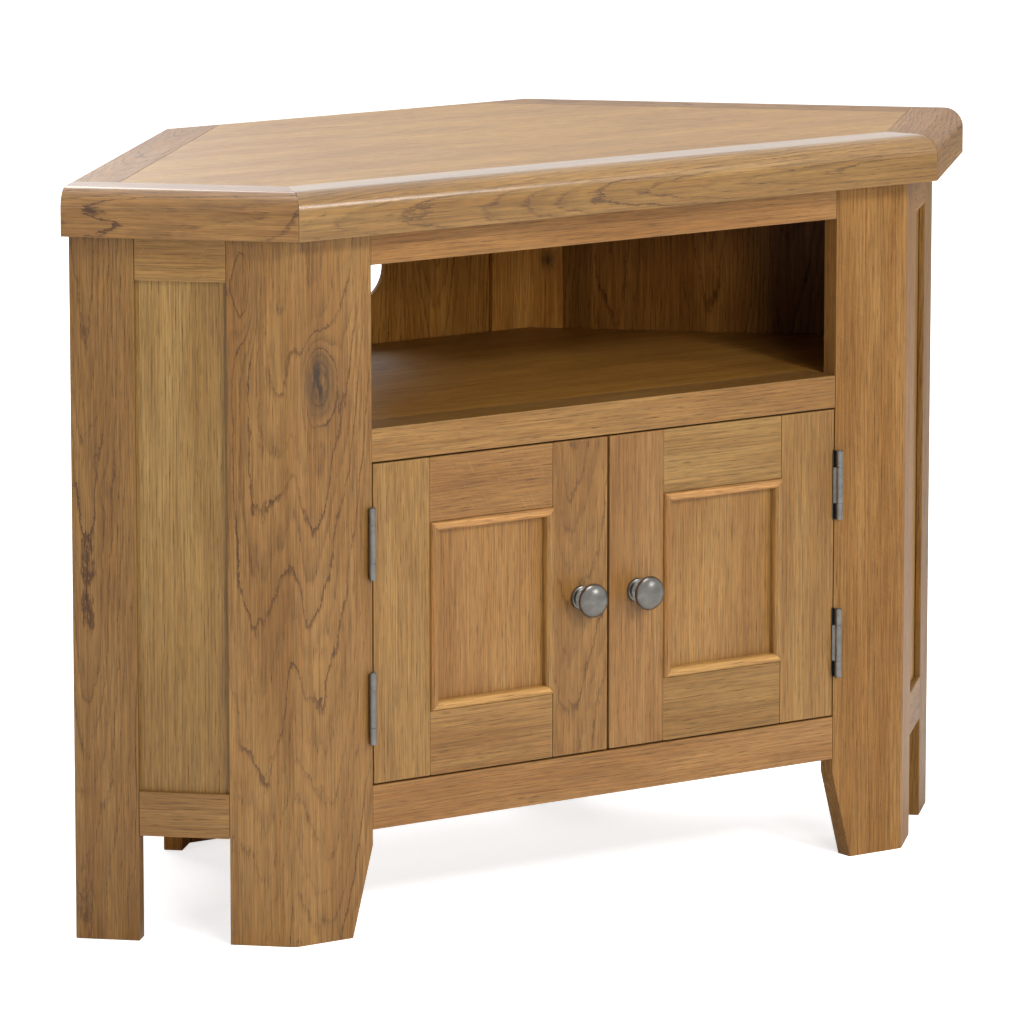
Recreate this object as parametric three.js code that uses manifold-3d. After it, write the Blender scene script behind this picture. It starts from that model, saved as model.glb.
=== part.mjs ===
// Corner media cabinet in oak: a rounded top on six legs, an open bay, and a cupboard with two doors.
// Millimetres, +Z up, the front faces -Y, and the origin is under the middle of the top, on the floor.

import * as THREE from 'three';
import { mergeVertices } from 'three/addons/utils/BufferGeometryUtils.js';
import Module from 'manifold-3d';

const wasm = await Module();
wasm.setup();

// Overall size.
const OVERALL_WIDTH = 1000;
const OVERALL_DEPTH = 447;
const OVERALL_HEIGHT = 674;

// Top.
const TOP_THICKNESS = 42;
const TOP_OVERHANG = 28.5;
const TOP_EDGE_RADIUS = 18;
const LIPPING_WIDTH = 49;
const WALL_STRIP_WIDTH = 41;

// Plan of the carcass: half the distance between the two front arrises.
const FRONT_HALF_WIDTH = 339;

// Boards of the carcass.
const BOARD = 18;
const JOINT = 0.3;
const FRONT_POST_FACE = 82;
const FRONT_POST_SIDE = 59;
const FRONT_POST_ARRIS_RADIUS = 10;
const REAR_POST_SIDE = 58;
const WALL_BOARD_WIDTH = 40;
const BACK_BOARD_WIDTH = 50;
const FOOT_TAPER_HEIGHT = 82;
const FOOT_TAPER_WIDTH = 21.5;

// Heights above the floor.
const RAIL_BOTTOM = 95.5;
const RAIL_HEIGHT = 40;
const SIDE_TOP_RAIL_BOTTOM = 591;
const FRONT_TOP_RAIL_BOTTOM = 601;
const SHELF_TOP = 456;
const SHELF_LIPPING_HEIGHT = 30;
const SHELF_LIPPING_DEPTH = 40;

// Thin panels, whose edges float in grooves in their frames.
const PANEL_TONGUE = 6;
const PANEL_SWELLING_ROOM = 1;
const SIDE_PANEL_RECESS = 6;
const SIDE_PANEL_THICKNESS = 8;
const BACK_PANEL_RECESS = 6;
const BACK_PANEL_THICKNESS = 6;
const CABLE_HOLE_RADIUS = 32;
const CABLE_HOLE_SIDES = 48;

// Doors.
const DOOR_THICKNESS = 18;
const DOOR_SIDE_GAP = 1.6;
const DOOR_TOP_GAP = 1.6;
const DOOR_BOTTOM_GAP = 1.8;
const DOOR_MEETING_HALF_GAP = 1.2;
const STILE_WIDTH = 60;
const DOOR_RAIL_HEIGHT = 58;
const DOOR_PANEL_RECESS = 6;
const DOOR_PANEL_THICKNESS = 8;
const BEAD_WIDTH = 8;
const BEAD_STANDS_PROUD = 2;

// Knobs, held from behind by a machine screw.
const KNOB_HEIGHT_ABOVE_FLOOR = 280.5;
const KNOB_PROJECTION = 28;
const KNOB_RADIUS = 15.6;
const KNOB_BASE_RADIUS = 10.8;
const KNOB_BORE_RADIUS = 2.4;
const KNOB_BORE_DEPTH = 14;
const SCREW_RADIUS = 2;
const SCREW_HEAD_RADIUS = 4;
const SCREW_HEAD_HEIGHT = 2.4;

// Butt hinges: the axis stands in front of the face, a little to the post's side of the gap.
const HINGE_HEIGHTS = { upper: 354, lower: 206 };
const HINGE_LENGTH = 64;
const HINGE_LEAF_WIDTH = 17;
const HINGE_LEAF_THICKNESS = 1;
const HINGE_END_KNUCKLE = 15;
const HINGE_BARREL_RADIUS = 3.2;
const HINGE_BORE_RADIUS = 1.58;
const HINGE_PIN_RADIUS = 1.5;
const HINGE_AXIS_FROM_POST_EDGE = 2.2;
const HINGE_AXIS_PROUD = 4.2;

// Twin magnetic catch.
const CATCH_WIDTH = 46;
const CATCH_HEIGHT = 13;
const CATCH_DEPTH = 19;
const STRIKE_WIDTH = 17;
const STRIKE_HEIGHT = 10;
const STRIKE_THICKNESS = 1.2;
const STRIKE_FROM_DOOR_EDGE = 3;

// Derived heights and planes.
const TOP_UNDERSIDE = OVERALL_HEIGHT - TOP_THICKNESS;
const FRONT_Y = -OVERALL_DEPTH / 2 + TOP_OVERHANG;
const BACK_Y = OVERALL_DEPTH / 2;
const RAIL_TOP = RAIL_BOTTOM + RAIL_HEIGHT;
const SHELF_LIPPING_BOTTOM = SHELF_TOP - SHELF_LIPPING_HEIGHT;
const SHELF_BOARD_BOTTOM = SHELF_TOP - BOARD;
const POST_EDGE_X = FRONT_HALF_WIDTH - FRONT_POST_FACE;
const DOOR_TOP = SHELF_LIPPING_BOTTOM - DOOR_TOP_GAP;
const DOOR_BOTTOM = RAIL_TOP + DOOR_BOTTOM_GAP;
const DOOR_HEIGHT = DOOR_TOP - DOOR_BOTTOM;
const DOOR_OUTER_X = POST_EDGE_X - DOOR_SIDE_GAP;
const DOOR_WIDTH = DOOR_OUTER_X - DOOR_MEETING_HALF_GAP;
const HINGE_X = POST_EDGE_X + HINGE_AXIS_FROM_POST_EDGE;
const HINGE_Y = FRONT_Y - HINGE_AXIS_PROUD;
const CABLE_HOLE_HEIGHT = (SHELF_TOP + FRONT_TOP_RAIL_BOTTOM) / 2;

// Colours.
const OAK_TOP = 0x9c7446;
const OAK_FRAME = 0xa4763f;
const OAK_PANEL = 0x8f6434;
const OAK_INSIDE = 0x7d5a30;
const NICKEL = 0x9a9a98;
const STEEL = 0xa9aaa8;
const MAGNET_CASE = 0xd9d6cf;

function oak(colour) {
  return new THREE.MeshStandardMaterial({ color: colour, roughness: 0.5, metalness: 0 });
}

function metal(colour, roughness) {
  return new THREE.MeshStandardMaterial({ color: colour, roughness, metalness: 1 });
}

function addPart(parent, name, geometry, material, x = 0, y = 0, z = 0) {
  const mesh = new THREE.Mesh(geometry, material);
  mesh.name = name;
  mesh.position.set(x, y, z);
  parent.add(mesh);
  return mesh;
}

// Plan geometry. A plan edge knows its start, its direction and the way into the cabinet.

function planEdge(start, end, inwardSign) {
  const along = new THREE.Vector2().subVectors(end, start);
  const length = along.length();
  along.normalize();
  const inward = new THREE.Vector2(along.y, -along.x).multiplyScalar(inwardSign);
  return { start, along, inward, length };
}

function pointOn(edge, distance, depth) {
  return edge.start
    .clone()
    .addScaledVector(edge.along, distance)
    .addScaledVector(edge.inward, depth);
}

function crossing(edgeA, depthA, edgeB, depthB) {
  const a = pointOn(edgeA, 0, depthA);
  const b = pointOn(edgeB, 0, depthB);
  const between = new THREE.Vector2().subVectors(b, a);
  const distance = between.cross(edgeB.along) / edgeA.along.cross(edgeB.along);
  return a.addScaledVector(edgeA.along, distance);
}

function mirrored(points, hand) {
  return points.map((point) => new THREE.Vector2(point.x * hand, point.y));
}

// The left half of a plan outline, from the front corner round to the back corner.
function cornerPlan(frontHalfWidth, frontY, wallSum) {
  const frontCorner = new THREE.Vector2(-frontHalfWidth, frontY);
  const sideRun = (wallSum - frontHalfWidth - frontY) / 2;
  const sideCorner = new THREE.Vector2(-frontHalfWidth - sideRun, frontY + sideRun);
  const backCorner = new THREE.Vector2(BACK_Y - wallSum, BACK_Y);
  const centre = new THREE.Vector2(0, frontY);
  const backCentre = new THREE.Vector2(0, BACK_Y);
  return {
    front: planEdge(frontCorner, centre, -1),
    side: planEdge(frontCorner, sideCorner, 1),
    wall: planEdge(sideCorner, backCorner, 1),
    back: planEdge(backCorner, backCentre, 1),
    frontCorner,
    sideCorner,
    backCorner,
  };
}

// The sides run back at 45 degrees, so on the left wall y - x is the same everywhere.
const HALF_CORNER_TAN = Math.tan(Math.PI / 8);
const TOP_FRONT_HALF = FRONT_HALF_WIDTH + TOP_OVERHANG * HALF_CORNER_TAN;
const TOP_SIDE_RUN = OVERALL_WIDTH / 2 - TOP_FRONT_HALF;
const WALL_SUM = OVERALL_WIDTH / 2 - OVERALL_DEPTH / 2 + TOP_SIDE_RUN;
const topPlan = cornerPlan(TOP_FRONT_HALF, FRONT_Y - TOP_OVERHANG, WALL_SUM);
const carcassPlan = cornerPlan(FRONT_HALF_WIDTH, FRONT_Y, WALL_SUM);

// Solids.

function outline(points, radii = {}) {
  const shape = new THREE.Shape();
  points.forEach((point, index) => {
    const radius = radii[index] ?? 0;
    const before = points[(index + points.length - 1) % points.length];
    const after = points[(index + 1) % points.length];
    const start = point.clone().lerp(before, radius / point.distanceTo(before));
    const end = point.clone().lerp(after, radius / point.distanceTo(after));
    if (index === 0) shape.moveTo(start.x, start.y);
    else shape.lineTo(start.x, start.y);
    if (radius > 0) shape.quadraticCurveTo(point.x, point.y, end.x, end.y);
  });
  shape.closePath();
  return shape;
}

function extrude(shape, depth, curveSegments = 8) {
  return new THREE.ExtrudeGeometry(shape, { depth, bevelEnabled: false, curveSegments });
}

function prism(points, height, radii) {
  return extrude(outline(points, radii), height);
}

// Stands an outline drawn in X and Z up in the room, from frontY back by its thickness.
function standing(shape, frontY, thickness) {
  const geometry = extrude(shape, thickness);
  geometry.rotateX(Math.PI / 2);
  geometry.translate(0, frontY + thickness, 0);
  return geometry;
}

function block(left, right, front, back, bottom, top) {
  const geometry = new THREE.BoxGeometry(Math.abs(right - left), back - front, top - bottom);
  geometry.translate((left + right) / 2, (front + back) / 2, (bottom + top) / 2);
  return geometry;
}

// Turns a profile about the upright axis: pairs of radius and height.
function turned(profile, segments = 32) {
  const points = profile.map(([radius, height]) => new THREE.Vector2(radius, height));
  const geometry = new THREE.LatheGeometry(points, segments);
  geometry.rotateX(Math.PI / 2);
  return geometry;
}

// Joining and cutting.

function toSolid(geometry) {
  const bare = geometry.clone();
  bare.deleteAttribute('normal');
  bare.deleteAttribute('uv');
  const merged = mergeVertices(bare, 1e-4);
  return new wasm.Manifold(
    new wasm.Mesh({
      numProp: 3,
      vertProperties: new Float32Array(merged.attributes.position.array),
      triVerts: new Uint32Array(merged.index.array),
    }),
  );
}

function toGeometry(solid) {
  const mesh = solid.getMesh();
  const geometry = new THREE.BufferGeometry();
  geometry.setAttribute('position', new THREE.BufferAttribute(mesh.vertProperties, 3));
  geometry.setIndex(new THREE.BufferAttribute(mesh.triVerts, 1));
  geometry.computeVertexNormals();
  return geometry;
}

function cutAway(geometry, tools) {
  const start = toSolid(geometry);
  return toGeometry(tools.reduce((solid, tool) => solid.subtract(toSolid(tool)), start));
}

function joined(geometries) {
  return toGeometry(geometries.map(toSolid).reduce((sum, solid) => sum.add(solid)));
}

// Top.

// The section of an edge lipping: square inside, a large round on its outer upper corner.
function lippingSection() {
  const shape = new THREE.Shape();
  shape.moveTo(0, 0);
  shape.lineTo(LIPPING_WIDTH, 0);
  shape.lineTo(LIPPING_WIDTH, TOP_THICKNESS);
  shape.lineTo(TOP_EDGE_RADIUS, TOP_THICKNESS);
  const centreHeight = TOP_THICKNESS - TOP_EDGE_RADIUS;
  shape.absarc(TOP_EDGE_RADIUS, centreHeight, TOP_EDGE_RADIUS, Math.PI / 2, Math.PI, false);
  shape.closePath();
  return shape;
}

// Runs the lipping section along the outer edge of a plan outline and trims it to that outline.
function lipping(planPoints, start, inward, length) {
  const run = new THREE.Vector3(inward.y, -inward.x, 0);
  const up = new THREE.Vector3(0, 0, 1);
  const moulding = extrude(lippingSection(), length, 16);
  const depthDirection = new THREE.Vector3(inward.x, inward.y, 0);
  moulding.applyMatrix4(new THREE.Matrix4().makeBasis(depthDirection, up, run));
  moulding.translate(start.x, start.y, 0);
  const trim = prism(planPoints, TOP_THICKNESS);
  return toGeometry(toSolid(moulding).intersect(toSolid(trim)));
}

function addTop(group) {
  const { front, side, wall, back, frontCorner, sideCorner, backCorner } = topPlan;
  const halfJoint = JOINT / 2;
  const mitreInner = crossing(front, LIPPING_WIDTH, side, LIPPING_WIDTH);
  const mitre = planEdge(frontCorner, mitreInner, 1);
  const sideLipping = [
    crossing(mitre, -halfJoint, side, 0),
    sideCorner,
    pointOn(side, side.length, LIPPING_WIDTH),
    crossing(mitre, -halfJoint, side, LIPPING_WIDTH),
  ];
  const frontLippingHalf = [
    crossing(mitre, halfJoint, front, 0),
    crossing(mitre, halfJoint, front, LIPPING_WIDTH),
  ];
  const frontLipping = [...frontLippingHalf, ...mirrored([...frontLippingHalf].reverse(), -1)];
  const stripStart = LIPPING_WIDTH + JOINT;
  const wallStrip = [
    crossing(side, stripStart, wall, 0),
    backCorner,
    crossing(back, 0, wall, WALL_STRIP_WIDTH),
    crossing(side, stripStart, wall, WALL_STRIP_WIDTH),
  ];
  const fieldHalf = [
    crossing(front, stripStart, side, stripStart),
    crossing(side, stripStart, wall, WALL_STRIP_WIDTH + JOINT),
    crossing(back, 0, wall, WALL_STRIP_WIDTH + JOINT),
  ];
  const field = [...fieldHalf, ...mirrored([...fieldHalf].reverse(), -1)];
  addPart(group, 'top_field_board', prism(field, TOP_THICKNESS), oak(OAK_TOP), 0, 0, TOP_UNDERSIDE);
  const frontInward = new THREE.Vector2(0, 1);
  const frontShape = lipping(frontLipping, frontCorner, frontInward, TOP_FRONT_HALF * 2);
  addPart(group, 'top_front_lipping', frontShape, oak(OAK_TOP), 0, 0, TOP_UNDERSIDE);
  for (const [word, hand] of [['left', 1], ['right', -1]]) {
    const start = hand > 0 ? sideCorner : mirrored([frontCorner], -1)[0];
    const inward = new THREE.Vector2(side.inward.x * hand, side.inward.y);
    const sideShape = lipping(mirrored(sideLipping, hand), start, inward, side.length);
    addPart(group, `top_side_lipping_${word}`, sideShape, oak(OAK_TOP), 0, 0, TOP_UNDERSIDE);
    const stripShape = prism(mirrored(wallStrip, hand), TOP_THICKNESS);
    addPart(group, `top_wall_strip_${word}`, stripShape, oak(OAK_TOP), 0, 0, TOP_UNDERSIDE);
  }
}

// Legs.

function hingeMortises(hand) {
  const edgeX = -POST_EDGE_X * hand;
  const deepX = (-POST_EDGE_X - HINGE_LEAF_THICKNESS - JOINT) * hand;
  const half = HINGE_LENGTH / 2 + JOINT;
  return Object.values(HINGE_HEIGHTS).map((height) =>
    block(
      deepX,
      edgeX + hand,
      FRONT_Y - 1,
      FRONT_Y + HINGE_LEAF_WIDTH + JOINT,
      height - half,
      height + half,
    ),
  );
}

function footTaperTool(hand) {
  const slope = FOOT_TAPER_WIDTH / FOOT_TAPER_HEIGHT;
  const margin = 8;
  const innerX = (height) => -POST_EDGE_X - slope * (FOOT_TAPER_HEIGHT - height);
  const points = [
    new THREE.Vector2(innerX(-margin), -margin),
    new THREE.Vector2(-POST_EDGE_X + 4 * margin, -margin),
    new THREE.Vector2(-POST_EDGE_X + 4 * margin, FOOT_TAPER_HEIGHT + margin),
    new THREE.Vector2(innerX(FOOT_TAPER_HEIGHT + margin), FOOT_TAPER_HEIGHT + margin),
  ];
  return standing(outline(mirrored(points, hand)), FRONT_Y - margin, BOARD + 2 * margin);
}

function frontPost(hand) {
  const { front, side, frontCorner } = carcassPlan;
  const section = [
    pointOn(side, FRONT_POST_SIDE, 0),
    frontCorner,
    pointOn(front, FRONT_POST_FACE, 0),
    pointOn(front, FRONT_POST_FACE, BOARD),
    crossing(front, BOARD, side, BOARD),
    pointOn(side, FRONT_POST_SIDE, BOARD),
  ];
  const arrisCorner = 1;
  const shaft = prism(mirrored(section, hand), TOP_UNDERSIDE, {
    [arrisCorner]: FRONT_POST_ARRIS_RADIUS * HALF_CORNER_TAN,
  });
  return cutAway(shaft, [footTaperTool(hand), ...hingeMortises(hand)]);
}

function rearPost(hand) {
  const { side, wall, sideCorner } = carcassPlan;
  const section = [
    pointOn(side, side.length - REAR_POST_SIDE, 0),
    sideCorner,
    pointOn(wall, WALL_BOARD_WIDTH, 0),
    pointOn(wall, WALL_BOARD_WIDTH, BOARD),
    crossing(side, BOARD, wall, BOARD),
    pointOn(side, side.length - REAR_POST_SIDE, BOARD),
  ];
  return prism(mirrored(section, hand), TOP_UNDERSIDE);
}

function backLeg(hand) {
  const { wall, back, backCorner } = carcassPlan;
  const section = [
    pointOn(wall, wall.length - WALL_BOARD_WIDTH, 0),
    backCorner,
    pointOn(back, BACK_BOARD_WIDTH, 0),
    pointOn(back, BACK_BOARD_WIDTH, BOARD),
    crossing(wall, BOARD, back, BOARD),
    pointOn(wall, wall.length - WALL_BOARD_WIDTH, BOARD),
  ];
  return prism(mirrored(section, hand), TOP_UNDERSIDE);
}

// A board between two legs, along one edge of the plan.
function boardOn(edge, from, to, depth, thickness, height, hand) {
  const points = [
    pointOn(edge, from, depth),
    pointOn(edge, to, depth),
    pointOn(edge, to, depth + thickness),
    pointOn(edge, from, depth + thickness),
  ];
  return prism(mirrored(points, hand), height);
}

// A thin panel, and the tool that cuts its grooves. The panel's edges run into the frame round
// its opening, and the grooves are a little deeper than that, so that the wood can swell.
function floatingPanel(edge, opening, recess, thickness, hand) {
  const { from, to, bottom, top } = opening;
  const board = (deeper, wider) =>
    boardOn(
      edge,
      from - deeper,
      to + deeper,
      recess - wider,
      thickness + 2 * wider,
      top - bottom + 2 * deeper,
      hand,
    ).translate(0, 0, bottom - deeper);
  return { panel: board(0, 0), groove: board(PANEL_SWELLING_ROOM, JOINT) };
}

function addLegsAndFrames(group) {
  const { side, wall } = carcassPlan;
  const sideFrom = FRONT_POST_SIDE + JOINT;
  const sideTo = side.length - REAR_POST_SIDE - JOINT;
  const wallFrom = WALL_BOARD_WIDTH + JOINT;
  const wallTo = wall.length - WALL_BOARD_WIDTH - JOINT;
  const topRailHeight = TOP_UNDERSIDE - SIDE_TOP_RAIL_BOTTOM;
  const sideOpening = {
    from: FRONT_POST_SIDE - PANEL_TONGUE,
    to: side.length - REAR_POST_SIDE + PANEL_TONGUE,
    bottom: RAIL_TOP - PANEL_TONGUE,
    top: SIDE_TOP_RAIL_BOTTOM + PANEL_TONGUE,
  };
  const wallOpening = {
    from: WALL_BOARD_WIDTH - PANEL_TONGUE,
    to: wall.length - WALL_BOARD_WIDTH + PANEL_TONGUE,
    bottom: RAIL_TOP - PANEL_TONGUE,
    top: TOP_UNDERSIDE - JOINT,
  };
  const centreGroove = centrePanelBlock(PANEL_SWELLING_ROOM, JOINT);
  for (const [word, hand] of [['left', 1], ['right', -1]]) {
    const sidePanel = floatingPanel(
      side,
      sideOpening,
      SIDE_PANEL_RECESS,
      SIDE_PANEL_THICKNESS,
      hand,
    );
    const wallPanel = floatingPanel(
      wall,
      wallOpening,
      BACK_PANEL_RECESS,
      BACK_PANEL_THICKNESS,
      hand,
    );
    const board = (edge, from, to, bottom, height) =>
      boardOn(edge, from, to, 0, BOARD, height, hand).translate(0, 0, bottom);
    const topRail = board(side, sideFrom, sideTo, SIDE_TOP_RAIL_BOTTOM, topRailHeight);
    const bottomRail = board(side, sideFrom, sideTo, RAIL_BOTTOM, RAIL_HEIGHT);
    const wallRail = board(wall, wallFrom, wallTo, RAIL_BOTTOM, RAIL_HEIGHT);
    const framed = [
      ['front_post', frontPost(hand), [sidePanel.groove]],
      ['rear_side_post', rearPost(hand), [sidePanel.groove, wallPanel.groove]],
      ['back_leg', backLeg(hand), [wallPanel.groove, centreGroove]],
      ['side_top_rail', topRail, [sidePanel.groove]],
      ['side_bottom_rail', bottomRail, [sidePanel.groove]],
      ['wall_bottom_rail', wallRail, [wallPanel.groove]],
    ];
    for (const [name, solid, grooves] of framed) {
      addPart(group, `${name}_${word}`, cutAway(solid, grooves), oak(OAK_FRAME));
    }
    addPart(group, `side_panel_${word}`, sidePanel.panel, oak(OAK_PANEL));
    addPart(group, `wall_panel_${word}`, wallPanel.panel, oak(OAK_INSIDE));
  }
}

// The back's centre panel without its hole, grown by the room its grooves leave it.
function centrePanelBlock(deeper, wider) {
  const { backCorner } = carcassPlan;
  const half = -backCorner.x - BACK_BOARD_WIDTH + PANEL_TONGUE + deeper;
  const back = BACK_Y - BACK_PANEL_RECESS;
  return block(
    -half,
    half,
    back - BACK_PANEL_THICKNESS - wider,
    back + wider,
    RAIL_TOP - PANEL_TONGUE - deeper,
    TOP_UNDERSIDE - JOINT + deeper,
  );
}

function addBack(group) {
  const { backCorner } = carcassPlan;
  const halfWidth = -backCorner.x - BACK_BOARD_WIDTH - JOINT;
  const railTop = RAIL_BOTTOM + RAIL_HEIGHT;
  const rail = block(-halfWidth, halfWidth, BACK_Y - BOARD, BACK_Y, RAIL_BOTTOM, railTop);
  const groove = centrePanelBlock(PANEL_SWELLING_ROOM, JOINT);
  addPart(group, 'back_bottom_rail', cutAway(rail, [groove]), oak(OAK_FRAME));
  const holeSaw = new THREE.CylinderGeometry(
    CABLE_HOLE_RADIUS,
    CABLE_HOLE_RADIUS,
    BACK_PANEL_THICKNESS + 4,
    CABLE_HOLE_SIDES,
  );
  const panelMiddle = BACK_Y - BACK_PANEL_RECESS - BACK_PANEL_THICKNESS / 2;
  holeSaw.translate(0, panelMiddle, CABLE_HOLE_HEIGHT);
  const panel = cutAway(centrePanelBlock(0, 0), [holeSaw]);
  addPart(group, 'back_panel_centre', panel, oak(OAK_INSIDE));
}

function addFrontRails(group) {
  const half = POST_EDGE_X - JOINT;
  const topRailHeight = TOP_UNDERSIDE - FRONT_TOP_RAIL_BOTTOM;
  const topRail = block(-half, half, FRONT_Y, FRONT_Y + BOARD, 0, topRailHeight);
  addPart(group, 'front_top_rail', topRail, oak(OAK_FRAME), 0, 0, FRONT_TOP_RAIL_BOTTOM);
  const bottomRail = block(-half, half, FRONT_Y, FRONT_Y + BOARD, 0, RAIL_HEIGHT);
  addPart(group, 'front_bottom_rail', bottomRail, oak(OAK_FRAME), 0, 0, RAIL_BOTTOM);
  const lippingBack = FRONT_Y + SHELF_LIPPING_DEPTH;
  const shelfLipping = block(-half, half, FRONT_Y, lippingBack, 0, SHELF_LIPPING_HEIGHT);
  addPart(group, 'shelf_front_lipping', shelfLipping, oak(OAK_FRAME), 0, 0, SHELF_LIPPING_BOTTOM);
}

// The floor of the cupboard and the media shelf fill the inside of the carcass.
function addInsideBoards(group) {
  const { front, side, wall, back } = carcassPlan;
  const inside = BOARD + JOINT;
  const half = [
    crossing(front, inside, side, inside),
    crossing(side, inside, wall, inside),
    crossing(wall, inside, back, inside),
  ];
  const floorPlan = [...half, ...mirrored([...half].reverse(), -1)];
  const floorBoard = prism(floorPlan, BOARD);
  addPart(group, 'cupboard_floor', floorBoard, oak(OAK_INSIDE), 0, 0, RAIL_TOP - BOARD);
  const notch = [
    new THREE.Vector2(POST_EDGE_X, FRONT_Y + inside),
    new THREE.Vector2(POST_EDGE_X, FRONT_Y + SHELF_LIPPING_DEPTH + JOINT),
  ];
  const shelfPlan = [...floorPlan, ...notch, ...mirrored([...notch].reverse(), -1)];
  addPart(group, 'media_shelf', prism(shelfPlan, BOARD), oak(OAK_INSIDE), 0, 0, SHELF_BOARD_BOTTOM);
}

// Doors. Each door is drawn from its hinge axis: hand is 1 where the door runs towards +X.

function doorBlock(hand, from, to, front, back, bottom, top) {
  return block(
    hand * (HINGE_X - from),
    hand * (HINGE_X - to),
    front - HINGE_Y,
    back - HINGE_Y,
    bottom,
    top,
  );
}

function outerStile(hand) {
  const front = FRONT_Y;
  const back = FRONT_Y + DOOR_THICKNESS;
  const stile = doorBlock(
    hand,
    DOOR_OUTER_X,
    DOOR_OUTER_X - STILE_WIDTH,
    front,
    back,
    DOOR_BOTTOM,
    DOOR_TOP,
  );
  const half = HINGE_LENGTH / 2 + JOINT;
  const mortises = Object.values(HINGE_HEIGHTS).map((height) =>
    doorBlock(
      hand,
      DOOR_OUTER_X + 1,
      DOOR_OUTER_X - HINGE_LEAF_THICKNESS - JOINT,
      front - 1,
      front + HINGE_LEAF_WIDTH + JOINT,
      height - half,
      height + half,
    ),
  );
  return cutAway(stile, mortises);
}

function knobCentreX() {
  return DOOR_MEETING_HALF_GAP + STILE_WIDTH / 2;
}

function innerStile(hand) {
  const back = FRONT_Y + DOOR_THICKNESS;
  const edge = DOOR_MEETING_HALF_GAP;
  const stile = doorBlock(hand, edge + STILE_WIDTH, edge, FRONT_Y, back, DOOR_BOTTOM, DOOR_TOP);
  const drill = new THREE.CylinderGeometry(
    SCREW_RADIUS + 0.4,
    SCREW_RADIUS + 0.4,
    DOOR_THICKNESS + 4,
    20,
  );
  const middleY = FRONT_Y + DOOR_THICKNESS / 2 - HINGE_Y;
  drill.translate(hand * (HINGE_X - knobCentreX()), middleY, KNOB_HEIGHT_ABOVE_FLOOR);
  return cutAway(stile, [drill]);
}

// A half-round bead on a square base: pairs of distance inwards and height over the panel.
function beadSection(baseHeight) {
  const steps = 8;
  const half = BEAD_WIDTH / 2;
  const section = [[0, 0]];
  for (let step = 0; step <= steps; step += 1) {
    const angle = Math.PI - (Math.PI * step) / steps;
    const rise = Math.sin(angle) * BEAD_STANDS_PROUD * 2;
    section.push([half + half * Math.cos(angle), baseHeight - BEAD_STANDS_PROUD + rise]);
  }
  section.push([BEAD_WIDTH, 0]);
  return section;
}

// A mitred frame of the section round a rectangle, lying in X and Z and rising towards -Y.
function mouldingFrame(left, right, bottom, top, baseY, section) {
  const corners = [[left, bottom, 1, 1], [right, bottom, -1, 1], [right, top, -1, -1], [left, top, 1, -1]];
  const positions = corners.flatMap(([x, z, stepX, stepZ]) =>
    section.flatMap(([inwards, rise]) => [x + stepX * inwards, baseY - rise, z + stepZ * inwards]),
  );
  const count = section.length;
  const triangles = [];
  for (let corner = 0; corner < 4; corner += 1) {
    for (let place = 0; place < count; place += 1) {
      const nextPlace = (place + 1) % count;
      const a = corner * count + place;
      const b = corner * count + nextPlace;
      const c = ((corner + 1) % 4) * count + nextPlace;
      const d = ((corner + 1) % 4) * count + place;
      triangles.push(a, c, b, a, d, c);
    }
  }
  const geometry = new THREE.BufferGeometry();
  geometry.setAttribute('position', new THREE.Float32BufferAttribute(positions, 3));
  geometry.setIndex(triangles);
  geometry.computeVertexNormals();
  return geometry;
}

function knobShape() {
  const domeStart = KNOB_PROJECTION - 5.5;
  const profile = [
    [0, KNOB_BORE_DEPTH],
    [KNOB_BORE_RADIUS, KNOB_BORE_DEPTH],
    [KNOB_BORE_RADIUS, 0],
    [KNOB_BASE_RADIUS, 0],
    [KNOB_BASE_RADIUS, 1.6],
    [KNOB_BASE_RADIUS - 0.9, 2.8],
    [7.4, 3.6],
    [5.6, 5.4],
    [4.9, 8.4],
    [5.3, 11.6],
    [7.2, 14.6],
    [10.6, 17.2],
    [14, 19.4],
    [KNOB_RADIUS - 0.2, 21],
    [KNOB_RADIUS, domeStart],
  ];
  const steps = 7;
  for (let step = 1; step <= steps; step += 1) {
    const angle = (Math.PI / 2) * (step / steps);
    const radius = step === steps ? 0 : KNOB_RADIUS * Math.cos(angle);
    profile.push([radius, domeStart + (KNOB_PROJECTION - domeStart) * Math.sin(angle)]);
  }
  return turned(profile, 40);
}

function knobScrewShape() {
  const reach = DOOR_THICKNESS + KNOB_BORE_DEPTH - 2;
  return turned(
    [
      [0, -SCREW_HEAD_HEIGHT],
      [SCREW_HEAD_RADIUS - 1, -SCREW_HEAD_HEIGHT],
      [SCREW_HEAD_RADIUS, -SCREW_HEAD_HEIGHT + 1],
      [SCREW_HEAD_RADIUS, 0],
      [SCREW_RADIUS, 0],
      [SCREW_RADIUS, reach - 1],
      [SCREW_RADIUS - 0.8, reach],
      [0, reach],
    ],
    20,
  );
}

function knuckle([bottom, top]) {
  const ring = [
    [HINGE_BORE_RADIUS, bottom],
    [HINGE_BARREL_RADIUS, bottom],
    [HINGE_BARREL_RADIUS, top],
    [HINGE_BORE_RADIUS, top],
    [HINGE_BORE_RADIUS, bottom],
  ];
  return turned(ring, 24);
}

// Heights of the knuckles, measured from the lower end of the hinge.
const KNUCKLES = {
  lower: [0, HINGE_END_KNUCKLE],
  middle: [HINGE_END_KNUCKLE + JOINT, HINGE_LENGTH - HINGE_END_KNUCKLE - JOINT],
  upper: [HINGE_LENGTH - HINGE_END_KNUCKLE, HINGE_LENGTH],
};

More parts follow.
